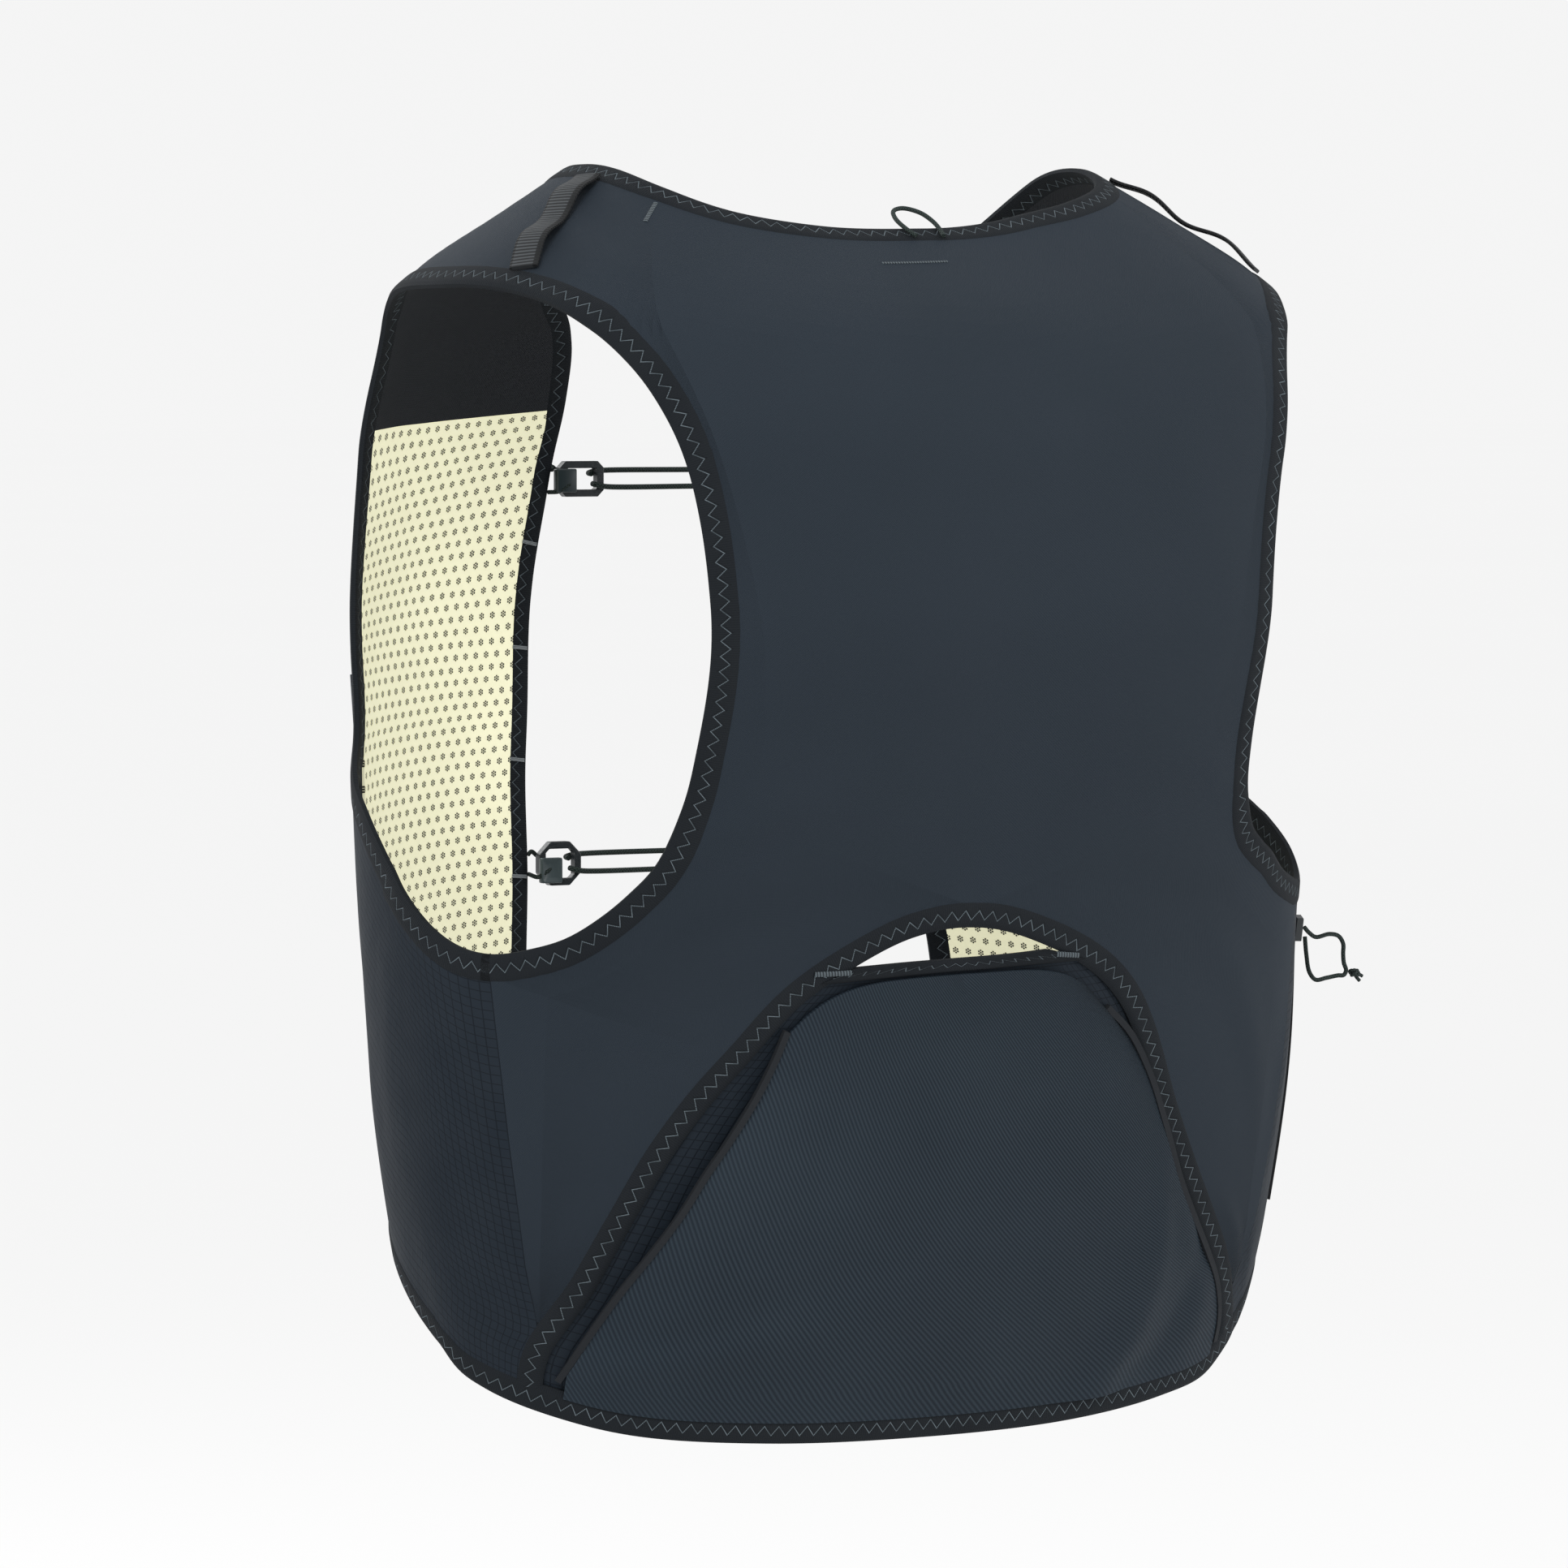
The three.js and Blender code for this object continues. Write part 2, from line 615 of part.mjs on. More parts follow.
// Side panels: between the side seam, the hem, the front seam and the bottom of the armhole.
for (const [name, side] of Object.entries(sides)) {
  const { route, bottomShares } = armholes[name];
  const seam = sideSeams[name];
  const front = frontSeams[name];
  const left = pick(sideSeamShares[name].map((share) => seam.beside(share, (-side * seamGap) / 2)));
  const right = (v) => front.beside(v, (side * seamGap) / 2);
  const topShares = [...bottomShares].reverse();
  const top = (u) => {
    const at = u * armholeBottomSteps;
    const i = Math.min(armholeBottomSteps - 1, Math.floor(at));
    const share = topShares[i] + (topShares[i + 1] - topShares[i]) * (at - i);
    return route.beside(share, side * panelInset);
  };
  const bottom = (u) => hemInsetPlace(left(0)[0] * (1 - u) + right(0)[0] * u);
  const places = aboveHem(patchPlaces(bottom, top, left, right, armholeBottomSteps, frontSeamSteps));
  addPiece("side_panel_" + name, "ripstop", clothSlab(places, shellLow, shellHigh));
}

// Fronts: the outer shell, and inside it the facing above and the net lining below.
const frontColumns = 4;
for (const [name, side] of Object.entries(sides)) {
  const { route, overShares } = armholes[name];
  const start = neckFrontStart[name];
  const firstShare = start + ((name === "left" ? 1 : -1) * panelInset) / neckFrontRoute.length;
  const edgeShares = evenly(start, shoulderShare[name], frontSteps);
  edgeShares[0] = firstShare;
  const edge = edgeShares.map((share) => neckFrontRoute.beside(share, -panelInset));
  const upSeam = evenly(0, 1, frontSeamSteps)
    .slice(0, -1)
    .map((share) => frontSeams[name].beside(share, (-side * seamGap) / 2));
  const overShoulder = [...overShares].reverse().map((share) => route.beside(share, side * panelInset));
  const outer = [...upSeam, ...overShoulder];
  const seamTurn = side * (seamGap / 2 / 2);
  const lastStep = frontSteps;
  edge[lastStep] = [edge[lastStep][0] + seamTurn, edge[lastStep][1]];
  outer[lastStep] = [outer[lastStep][0] + seamTurn, outer[lastStep][1]];
  const places = aboveHem(stripPlaces(edge, outer, frontColumns));
  addPiece("front_panel_" + name, "shell", clothSlab(places, shellLow, shellHigh));
  const split = places.findIndex((row) => row[frontColumns / 2][1] > facingFrom);
  const lining = places.slice(0, split);
  const facing = places.slice(split - 1).map((row) => [...row]);
  const gapShare = (seamGap * 2) / 16;
  facing[0] = facing[0].map((place, j) => mixPlaces(place, facing[1][j], gapShare));
  addPiece("mesh_lining_" + name, "mesh", clothSlab(lining, 0, liningOuter));
  addPiece("shoulder_facing_" + name, "facing", clothSlab(facing, 0, liningOuter));
}

// Rear pocket: a flat liner, an outer wall that stands off it, a bound top edge and two thin side trims.
const pocketColumns = 10;
const pocketRows = 9;
const linerColumns = 8;
const linerRows = 6;
const linerTop = makeRoute(pocketTopLine);
const linerTopShares = [
  shareWhere((share) => archRoute.at(share)[0] >= pocketTopLine[0][0]),
  shareWhere((share) => archRoute.at(share)[0] >= pocketTopLine[3][0]),
];
const linerLeft = (v) => archRoute.beside(linerTopShares[0] * v, -linerGap);
const linerRight = (v) => archRoute.beside(1 - (1 - linerTopShares[1]) * v, -linerGap);
const linerTopPlace = (u) => {
  const straight = mixPlaces(linerLeft(1), linerRight(1), u);
  const drawn = linerTop.at(u);
  const bow = drawn[1] - mixPlaces(linerTop.at(0), linerTop.at(1), u)[1];
  return [straight[0], straight[1] + bow];
};
const linerBottom = (u) => hemInsetPlace(linerLeft(0)[0] * (1 - u) + linerRight(0)[0] * u);
addPiece(
  "pocket_liner",
  "ripstop",
  clothSlab(
    aboveHem(patchPlaces(linerBottom, linerTopPlace, linerLeft, linerRight, linerColumns, linerRows)),
    0,
    liningOuter,
  ),
);

const topBindingRoute = makeRoute(pocketTopEdge);
const topBindingSteps = 10;
const topBindingRows = evenly(0, 1, topBindingSteps).map((u) => {
  const upper = topBindingRoute.at(u);
  const lower = linerTopPlace(u);
  return [upper, [lower[0], lower[1] + seamGap / bodyHeight]];
});
addPiece("pocket_top_binding", "binding", clothSlab(topBindingRows, 0, bindingThickness));

const pocketLeft = makeRoute(pocketLeftEdge);
const pocketRight = makeRoute(pocketRightEdge);
const pocketTopPlace = (u) => {
  const line = linerTopPlace(u);
  const inward = mixPlaces(pocketLeft.at(1), pocketRight.at(1), u);
  return [inward[0], line[1] - seamGap / bodyHeight - Math.abs(2 * u - 1) ** 4 * (line[1] - inward[1])];
};
const pocketBottom = (u) => {
  const turn = pocketLeft.at(0)[0] * (1 - u) + pocketRight.at(0)[0] * u;
  return hemInsetPlace(turn);
};
function pocketLift(u, v) {
  // The wall stands off most in the lower middle, and its side edges gape open half way up.
  const across = Math.sin(Math.PI * u) ** 0.8;
  const along = Math.sin(Math.PI * v ** 0.75);
  const gape = pocketSideLift * (1 - across) * Math.sin(Math.PI * v);
  return pocketStandOff + pocketBulge * across * along + gape;
}
const pocketPlaces = aboveHem(
  patchPlaces(
    pocketBottom,
    pocketTopPlace,
    (v) => pocketLeft.at(v),
    (v) => pocketRight.at(v),
    pocketColumns,
    pocketRows,
  ),
);
const pocketInnerLift = (i, j) => pocketLift(j / pocketColumns, i / pocketRows);
addPiece(
  "pocket_panel",
  "twill",
  clothSlab(pocketPlaces, pocketInnerLift, (i, j) => pocketInnerLift(i, j) + pocketThickness),
);
for (const [name, side] of Object.entries(sides)) {
  const edge = side < 0 ? pocketLeft : pocketRight;
  const shares = evenly(0, 1, pocketRows);
  const rows = aboveHem(
    shares.map((share) => [
      edge.beside(share, -side * seamGap),
      edge.beside(share, -side * (seamGap + trimWidth)),
    ]),
  );
  const low = (i) => pocketLift(side < 0 ? 0 : 1, shares[i]) - (trimThickness - pocketThickness) / 2;
  addPiece(
    "pocket_trim_" + name,
    "binding",
    clothSlab(rows, low, (i) => low(i) + trimThickness),
  );
}

// Webbing across each shoulder, with two low loops that stand up from it.
const webbingSteps = 16;
for (const [name, side] of Object.entries(sides)) {
  const { route } = armholes[name];
  const neckSpan = side < 0 ? evenly(0, leftShoulderShare, 200) : evenly(1, rightShoulderShare, 200);
  const neckShare = neckSpan.find((share) => {
    const turn = Math.abs(neckFrontRoute.at(share)[0]);
    return turn <= webbingNeckTurn;
  });
  const armShare = evenly(0, 1, 400).find((share) => Math.abs(route.at(share)[0]) >= webbingArmTurn);
  const from = neckFrontRoute.beside(neckShare, -panelInset);
  const to = route.beside(armShare, side * panelInset);
  const line = makeRoute([from, mixPlaces(from, to, 0.5), to]);
  const places = evenly(0, 1, webbingSteps).map((share) => [
    line.beside(share, -webbingWidth / 2),
    line.beside(share, webbingWidth / 2),
  ]);
  const low = (i) => {
    const wave = Math.sin((webbingBumps * Math.PI * i) / webbingSteps) ** 2;
    return shellHigh + webbingClearance + webbingBump * wave;
  };
  addPiece(
    "shoulder_webbing_" + name,
    "webbing",
    clothSlab(places, low, (i) => low(i) + webbingThickness),
  );
}

// Hang loop at the back of the neck
const hangLoopWidth = 11;
const hangLoopRise = 20;
const neckMiddle = neckFrontRoute.at(neckMiddleShare);
const hangLoopFoot = neckFrontRoute.beside(neckMiddleShare, -bindingWidth + 1);
const footPoint = liftedPoint(hangLoopFoot, bindingThickness + seatGap + loopDiameter / 2);
const edgePoint = liftedPoint(neckMiddle, bindingThickness + seatGap + loopDiameter / 2);
const loopUp = edgePoint.clone().sub(footPoint).normalize();
const hangLoopMarks = [
  [-0.5, 0], [-0.62, 0.25], [-0.66, 0.6], [-0.45, 0.9], [0, 1], [0.45, 0.85], [0.62, 0.55], [0.6, 0.25], [0.5, 0],
];
const hangLoopPoints = hangLoopMarks.map(([across, rise]) =>
  footPoint
    .clone()
    .add(new THREE.Vector3(across * hangLoopWidth, 0, 0))
    .addScaledVector(loopUp, rise * hangLoopRise),
);
addPiece("neck_hang_loop", "cord", cordTube(hangLoopPoints, loopDiameter, 18));

// Chest bungees, each looped through a hook on the left and a plain plate on the right
const hookForms = {
  upper: { up: upperHookUp, length: hookLength, height: hookHeight, corner: 2.4 },
  lower: { up: lowerHookUp, length: lowerHookLength, height: lowerHookHeight, corner: 4.6 },
};
// Places around one bar of a hook, as x and depth: from the front of its outer face, through the
// window, to the back of the outer face. Inward is the way from the outer face to the window.
function aroundBar(outerFace, inward, diameter) {
  const clear = diameter / 2 + cordClearance;
  const diagonal = clear * Math.SQRT1_2;
  const front = hookThickness / 2;
  const before = [
    [outerFace - inward * diagonal, front + diagonal],
    [outerFace + (inward * hookWall) / 2, front + clear],
    [outerFace + inward * (hookWall + diagonal), front + diagonal],
  ];
  const after = before.map(([x, depth]) => [x, -depth]).reverse();
  return [...before, [outerFace + inward * (hookWall + clear), 0], ...after];
}
function edgeShareAtHeight(name, up) {
  const span = name === "left" ? evenly(0, leftShoulderShare, 400) : evenly(1, rightShoulderShare, 400);
  return span.find((share) => neckFrontRoute.at(share)[1] >= up);
}
for (const [level, form] of Object.entries(hookForms)) {
  const shares = {
    left: edgeShareAtHeight("left", form.up),
    right: edgeShareAtHeight("right", form.up),
  };
  const middleLift = bindingThickness / 2;
  const leftEdge = liftedPoint(neckFrontRoute.at(shares.left), middleLift);
  const rightEdge = liftedPoint(neckFrontRoute.at(shares.right), middleLift);
  const height = (leftEdge.z + rightEdge.z) / 2;
  const chordDepth = (leftEdge.y + rightEdge.y) / 2;
  const standOff = 2 * loopDiameter + cordClearance;
  const hookX = leftEdge.x + standOff + form.length / 2;
  const anchorX = rightEdge.x - standOff - anchorLength / 2;
  const hook = addPiece(
    "bungee_hook_" + level + "_left",
    "plastic",
    framePlate(form.length, form.height, hookWall, hookThickness, form.corner),
  );
  hook.position.set(hookX, chordDepth, height);
  const anchor = addPiece(
    "bungee_anchor_" + level + "_right",
    "plastic",
    framePlate(anchorLength, hookHeight, hookWall, hookThickness, hookWall / 2),
  );
  anchor.position.set(anchorX, chordDepth, height);

  // The cord crosses the chest twice and turns round the inner bars of the hook and the plate.
  const half = strandGap / 2;
  const strandDepth = hookThickness / 2 + bungeeDiameter / 2 + cordClearance;
  const middle = (leftEdge.x + rightEdge.x) / 2;
  const strand = ([x, depth], rise) => new THREE.Vector3(x, chordDepth + depth, height + rise);
  const aroundHook = aroundBar(hookX + form.length / 2, -1, bungeeDiameter);
  const aroundPlate = aroundBar(anchorX - anchorLength / 2, 1, bungeeDiameter);
  const free = [hookX + form.length / 2 + hookWall, strandDepth];
  const plateFree = [anchorX - anchorLength / 2 - hookWall, strandDepth];
  const behind = ([x, depth]) => [x, -depth];
  const points = [
    strand(aroundHook[3], half * 0.6),
    strand(aroundHook[2], half * 0.7),
    strand(aroundHook[1], half * 0.9),
    strand(free, half),
    strand([middle, strandDepth + 1], half),
    strand(plateFree, half),
    ...aroundPlate.slice(1, -1).map((place, i) => strand(place, half * [0.9, 0.6, 0, -0.6, -0.9][i])),
    strand(behind(plateFree), -half),
    strand([middle, 1 - strandDepth], -half),
    strand(behind(free), -half),
    strand(behind(aroundHook[1]), -half * 0.9),
    strand(behind(aroundHook[2]), -half * 0.7),
    strand([aroundHook[3][0], -hookThickness / 4], -half * 0.6),
  ];
  addPiece("chest_bungee_" + level, "cord", cordTube(points, bungeeDiameter, 70));

  // A short loop on each front edge carries the hook or plate by its outer bar.
  const carried = { left: hookX - form.length / 2, right: anchorX + anchorLength / 2 };
  for (const [name, side] of Object.entries(sides)) {
    const edge = name === "left" ? leftEdge : rightEdge;
    const edgeAt = (rise) => {
      const share = edgeShareAtHeight(name, form.up + rise / bodyHeight);
      return liftedPoint(neckFrontRoute.beside(share, seatGap + loopDiameter / 2), middleLift);
    };
    const turned = aroundBar(carried[name], -side, loopDiameter).map(
      ([x, depth], i) => new THREE.Vector3(x, chordDepth + depth, edge.z + loopSpread * (1 - i / 3)),
    );
    const loop = [edgeAt(loopSpread), ...turned, edgeAt(-loopSpread)];
    addPiece("edge_loop_" + level + "_" + name, "cord", cordTube(loop, loopDiameter, 16));
  }
}

// Flask pockets on the fronts, open at the top
const flaskColumns = 6;
const flaskRows = 6;
for (const [name, side] of Object.entries(sides)) {
  const widthTurn = flaskPocketWidth / frontMmPerDegree;
  const inset = (bindingWidth + flaskPocketInset) / frontMmPerDegree;
  const placeAt = (u, v) => {
    const up = flaskPocketBottom + (flaskPocketTop - flaskPocketBottom) * v;
    const edgeTurn = Math.abs(neckFrontRoute.at(edgeShareAtHeight(name, up))[0]) - inset;
    const farTurn = Math.max(edgeTurn - widthTurn, flaskPocketFarTurn);
    return [side * (edgeTurn * (1 - u) + farTurn * u), up];
  };
  const places = evenly(0, 1, flaskRows).map((v) => evenly(0, 1, flaskColumns).map((u) => placeAt(u, v)));
  const low = (i, j) => {
    const across = Math.sin((Math.PI * j) / flaskColumns);
    const along = Math.min(1, (1.6 * i) / flaskRows);
    return shellHigh + layerGap + 0.4 + flaskPocketBulge * across * along;
  };
  addPiece(
    "flask_pocket_" + name,
    "ripstop",
    clothSlab(places, low, (i, j) => low(i, j) + flaskPocketThickness),
  );
}

// Zip on the right side, with its slider, cord pull and knot
const zipLow = shellHigh + layerGap + 0.2;
const zipRoute = makeRoute([[zipTurn, zipTop], [zipTurn, (zipTop + zipBottom) / 2], [zipTurn, zipBottom]]);
const zipPlaces = evenly(0, 1, 10).map((share) => [
  zipRoute.beside(share, -zipWidth / 2),
  zipRoute.beside(share, zipWidth / 2),
]);
addPiece("side_zip", "webbing", clothSlab(zipPlaces, zipLow, zipLow + zipThickness));
const sliderPlace = zipRoute.at(sliderLength / zipRoute.length);
const sliderNormal = surfaceFrame(...sliderPlace).normal;
const sliderCentre = liftedPoint(sliderPlace, zipLow + zipThickness + seatGap + sliderThickness / 2);
const slider = addPiece(
  "zip_slider",
  "plastic",
  new THREE.BoxGeometry(sliderWidth, sliderLength, sliderThickness),
);
slider.position.copy(sliderCentre);
slider.quaternion.setFromUnitVectors(new THREE.Vector3(0, 0, 1), sliderNormal);
slider.rotateZ(Math.PI / 2);

const pullStart = sliderCentre.clone().addScaledVector(sliderNormal, sliderThickness / 2 + seatGap);
const pullMarks = [
  [0, 0, 0.3], [2, 0, -1.7], [5, 0, -3.5], [10.9, 0, -2.6], [14.9, 0, -3.5], [16.9, 0, -6.4],
  [16.9, 0, -9.9], [17.2, 0, -13.3], [18.2, 0, -16.2], [17.2, 0, -17.8], [14.6, 0, -17.9],
  [9.6, 0, -18.6], [5, 0, -19.1], [2.3, 0, -16.2], [1, 0, -9.9], [0.3, 0, -3.2],
];
const pullPoints = pullMarks.map(([x, y, z]) => pullStart.clone().add(new THREE.Vector3(x + 0.9, y, z)));
addPiece("zip_pull_cord", "cord", cordTube(pullPoints, pullDiameter, 22));
const knotReach = pullDiameter / 2 + seatGap + knotDiameter / 2;
const knotCentre = pullPoints[8].clone().add(new THREE.Vector3(knotReach, 0, -0.6));
const knot = addPiece("zip_pull_knot", "cord", new THREE.SphereGeometry(knotDiameter / 2, 8, 6));
knot.position.copy(knotCentre);

export default vest;
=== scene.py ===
from math import cos, radians, sin

import bmesh
import bpy
import numpy as np
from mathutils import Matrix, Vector


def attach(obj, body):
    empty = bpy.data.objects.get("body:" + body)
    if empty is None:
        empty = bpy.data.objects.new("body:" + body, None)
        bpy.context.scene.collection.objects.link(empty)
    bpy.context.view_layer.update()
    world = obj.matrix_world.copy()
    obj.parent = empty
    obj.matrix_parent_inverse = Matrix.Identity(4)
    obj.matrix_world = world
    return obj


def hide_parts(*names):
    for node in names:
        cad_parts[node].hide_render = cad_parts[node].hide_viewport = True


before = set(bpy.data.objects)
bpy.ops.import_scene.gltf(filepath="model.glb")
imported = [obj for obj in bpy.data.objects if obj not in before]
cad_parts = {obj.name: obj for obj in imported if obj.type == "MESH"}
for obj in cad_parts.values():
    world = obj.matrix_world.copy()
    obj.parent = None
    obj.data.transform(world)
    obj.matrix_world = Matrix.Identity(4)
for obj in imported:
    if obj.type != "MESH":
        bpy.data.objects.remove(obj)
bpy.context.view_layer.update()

# Camera. It stands three metres off, a little above the middle of the vest, on the wearer's left
# and behind, which is the angle that the photograph was taken from.
camera = bpy.data.objects.new("studio_camera", bpy.data.cameras.new("studio_camera"))
bpy.context.scene.collection.objects.link(camera)
camera_target = Vector((-0.0137, 0.0076, -0.2012))
camera.location = (-1.466, -2.613, -0.0442)
camera.rotation_euler = (camera_target - camera.location).to_track_quat("-Z", "Y").to_euler()
camera.data.sensor_width = 36
camera.data.lens = 192.9
camera.data.clip_end = 200
bpy.context.scene.camera = camera
bpy.context.scene.view_settings.view_transform = "Standard"


# Studio floor and light. A wide pale floor lies well below the vest, a white sky lights it evenly,
# and large soft lamps to either side give the dark cloth its sheen.
class Wire:
    """A value on its way through a finish, such as a colour mask or a height."""

    def __init__(self, finish, socket):
        self.finish = finish
        self.socket = socket

    def maths(self, operation, *others):
        inputs = {i: value for i, value in enumerate((self, *others))}
        return self.finish.node("Math", {"operation": operation}, inputs)

    def __add__(self, other):
        return self.maths("ADD", other)

    def __sub__(self, other):
        return self.maths("SUBTRACT", other)

    def __mul__(self, other):
        return self.maths("MULTIPLY", other)

    def __truediv__(self, other):
        return self.maths("DIVIDE", other)

    def __rsub__(self, other):
        return self.finish.node("Math", {"operation": "SUBTRACT"}, {0: other, 1: self})

    __radd__ = __add__
    __rmul__ = __mul__

    def wave(self, pitch):
        """A sine of the value, which repeats at the pitch."""
        return (self * (6.2832 / pitch)).maths("SINE")

    def below(self, edge, softness):
        """1 where the value is under the edge, 0 above it, with a soft step between."""
        return self.finish.node(
            "MapRange",
            {"clamp": True},
            {"Value": self, "From Min": edge + softness, "From Max": edge - softness},
        )


class Finish:
    """The look of one material: its constants, and the nodes that vary it over the surface."""

    def __init__(self, name, color, roughness, **constants):
        self.material = bpy.data.materials.new(name)
        self.material.use_nodes = True
        self.tree = self.material.node_tree
        self.shader = self.tree.nodes["Principled BSDF"]
        self.shader.inputs["Base Color"].default_value = (*color, 1)
        self.shader.inputs["Roughness"].default_value = roughness
        for socket, value in constants.items():
            self.shader.inputs[socket.replace("_", " ")].default_value = value

    def node(self, kind, settings=None, inputs=None, output=0):
        made = self.tree.nodes.new("ShaderNode" + kind)
        for key, value in (settings or {}).items():
            setattr(made, key, value)
        for key, value in (inputs or {}).items():
            if isinstance(value, Wire):
                self.tree.links.new(value.socket, made.inputs[key])
            else:
                made.inputs[key].default_value = value
        return Wire(self, made.outputs[output])

    def cloth_way(self):
        """Distances along and across the cloth, in millimetres."""
        place = self.node("UVMap", {"uv_map": "cloth"})
        apart = {"Vector": place}
        return [self.node("SeparateXYZ", None, apart, i) * 1000 for i in (0, 1)]

    def noise(self, scale, detail=2.0):
        spot = self.node("TexCoord", None, None, 3)
        return self.node("TexNoise", None, {"Vector": spot, "Scale": scale, "Detail": detail})

    def mixed(self, factor, first, second):
        """A colour between two others."""
        kind = {"data_type": "RGBA"}
        colours = [value if isinstance(value, Wire) else (*value, 1) for value in (first, second)]
        return self.node("Mix", kind, {0: factor, 6: colours[0], 7: colours[1]}, 2)

    def paint(self, socket, value):
        self.tree.links.new(value.socket, self.shader.inputs[socket])

    def relief(self, height, distance, strength=1.0):
        bump = self.node("Bump", None, {"Height": height, "Distance": distance, "Strength": strength})
        self.paint("Normal", bump)


floor_finish = Finish("studio_floor", (0.3, 0.3, 0.3), 0.95, Specular_IOR_Level=0.0, Emission_Strength=0.635)
floor_finish.paint(
    "Base Color", floor_finish.mixed(floor_finish.noise(0.5), (0.295, 0.295, 0.295), (0.305, 0.305, 0.305))
)
bpy.ops.object.select_all(action="DESELECT")
bpy.ops.mesh.primitive_plane_add(size=120, location=(0, 0, -0.75))
floor = bpy.context.object
floor.name = "studio_floor"
floor.data.materials.append(floor_finish.material)

world = bpy.data.worlds.new("studio_sky")
world.use_nodes = True
world.node_tree.nodes["Background"].inputs["Color"].default_value = (1, 1, 1, 1)
world.node_tree.nodes["Background"].inputs["Strength"].default_value = 0.91
bpy.context.scene.world = world
for lamp_name, spot, size, power in (
    ("key_lamp", (-1.6, -1.2, 1.4), 1.2, 26),
    ("side_lamp", (1.9, -1.5, 0.5), 1.4, 20),
    ("front_lamp", (-0.6, 1.9, 0.9), 1.2, 14),
):
    lamp = bpy.data.objects.new(lamp_name, bpy.data.lights.new(lamp_name, "AREA"))
    bpy.context.scene.collection.objects.link(lamp)
    lamp.location = spot
    lamp.rotation_euler = (Vector((0, 0, -0.2)) - lamp.location).to_track_quat("-Z", "Y").to_euler()
    lamp.data.size = size
    lamp.data.energy = power


# Cords. Braided round cord makes the small loop at the neck, the zip pull and its knot, the loops
# on the front edges, and the two elastic cords that are hooked across the chest.
def smooth_line(marks, steps, closed=False):
    """Points on a centripetal curve through the marks, with as many steps between two marks."""
    marks = np.asarray(marks, float)
    count = len(marks)
    if closed:
        marks = np.vstack([marks[-1], marks, marks[0], marks[1]])
    else:
        marks = np.vstack([2 * marks[0] - marks[1], marks, 2 * marks[-1] - marks[-2]])
    spans = count if closed else count - 1
    u = np.linspace(0, 1, steps, endpoint=False)[:, None]
    line = []
    for a, b, c, d in (marks[i : i + 4] for i in range(spans)):
        before, here, after = (max(np.linalg.norm(q - p), 1e-9) ** 0.5 for p, q in ((a, b), (b, c), (c, d)))
        leaving = ((b - a) / before - (c - a) / (before + here) + (c - b) / here) * here
        arriving = ((c - b) / here - (d - b) / (here + after) + (d - c) / after) * here
        curve = 2 * b - 2 * c + leaving + arriving
        line.append(b + leaving * u + (3 * c - 3 * b - 2 * leaving - arriving) * u**2 + curve * u**3)
    line.append(marks[1:2] if closed else marks[-2:-1])
    return np.vstack(line)


def finished_mesh(name, points, faces, finish, nodes=(), ways=None):
    """A mesh object in its place, which rides on the vest and stands for the named CAD nodes."""
    mesh = bpy.data.meshes.new(name)
    mesh.from_pydata([tuple(p) for p in points], [], [tuple(f) for f in faces])
    if ways is not None:
        layer = mesh.uv_layers.new(name="cloth")
        corners = np.empty(len(mesh.loops), int)
        mesh.loops.foreach_get("vertex_index", corners)
        layer.data.foreach_set("uv", np.asarray(ways)[corners].astype(np.float32).ravel())
    work = bmesh.new()
    work.from_mesh(mesh)
    bmesh.ops.recalc_face_normals(work, faces=work.faces)
    work.to_mesh(mesh)
    work.free()
    mesh.polygons.foreach_set("use_smooth", [True] * len(mesh.polygons))
    mesh.set_sharp_from_angle(angle=radians(55))
    mesh.materials.append(finish.material)
    piece = bpy.data.objects.new(name, mesh)
    bpy.context.scene.collection.objects.link(piece)
    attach(piece, "root")
    if nodes:
        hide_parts(*nodes)
    return piece


def cord_piece(name, marks, diameter, finish, nodes, steps=8):
    """A round cord through marks in millimetres. Also gives the line that it follows, in metres."""
    line = smooth_line(np.asarray(marks) / 1000, steps)
    sides = 14
    travel = np.gradient(line, axis=0)
    travel /= np.linalg.norm(travel, axis=1)[:, None]
    across = np.cross(travel[0], (0.3, 0.2, 0.93))
    rings, ways, length = [], [], 0.0
    for i, (point, way) in enumerate(zip(line, travel)):
        across = across - way * across.dot(way)
        across /= np.linalg.norm(across)
        third = np.cross(way, across)
        length += np.linalg.norm(point - line[i - 1]) if i else 0
        for k in range(sides):
            turn = 2 * np.pi * k / sides
            rings.append(point + diameter / 2 * (cos(turn) * across + sin(turn) * third))
            ways.append((length, diameter * np.pi * k / sides))
    faces = [
        (i * sides + k, i * sides + (k + 1) % sides, (i + 1) * sides + (k + 1) % sides, (i + 1) * sides + k)
        for i in range(len(line) - 1)
        for k in range(sides)
    ]
    faces += [tuple(range(sides)), tuple(range((len(line) - 1) * sides, len(line) * sides))]
    piece = finished_mesh(name, rings, faces, finish, nodes, ways)
    return piece, line


def braided(name, dark, light, pitch):
    """Braid: two sets of strands that wind round the cord in opposite ways."""
    finish = Finish(name, dark, 0.75, Specular_IOR_Level=0.2)
    along, around = finish.cloth_way()
    strands = (along + around).wave(pitch).maths("MAXIMUM", (along - around).wave(pitch))
    finish.paint("Base Color", finish.mixed(strands * 0.5 + 0.4, dark, light))
    finish.relief(strands, 0.00015)
    return finish


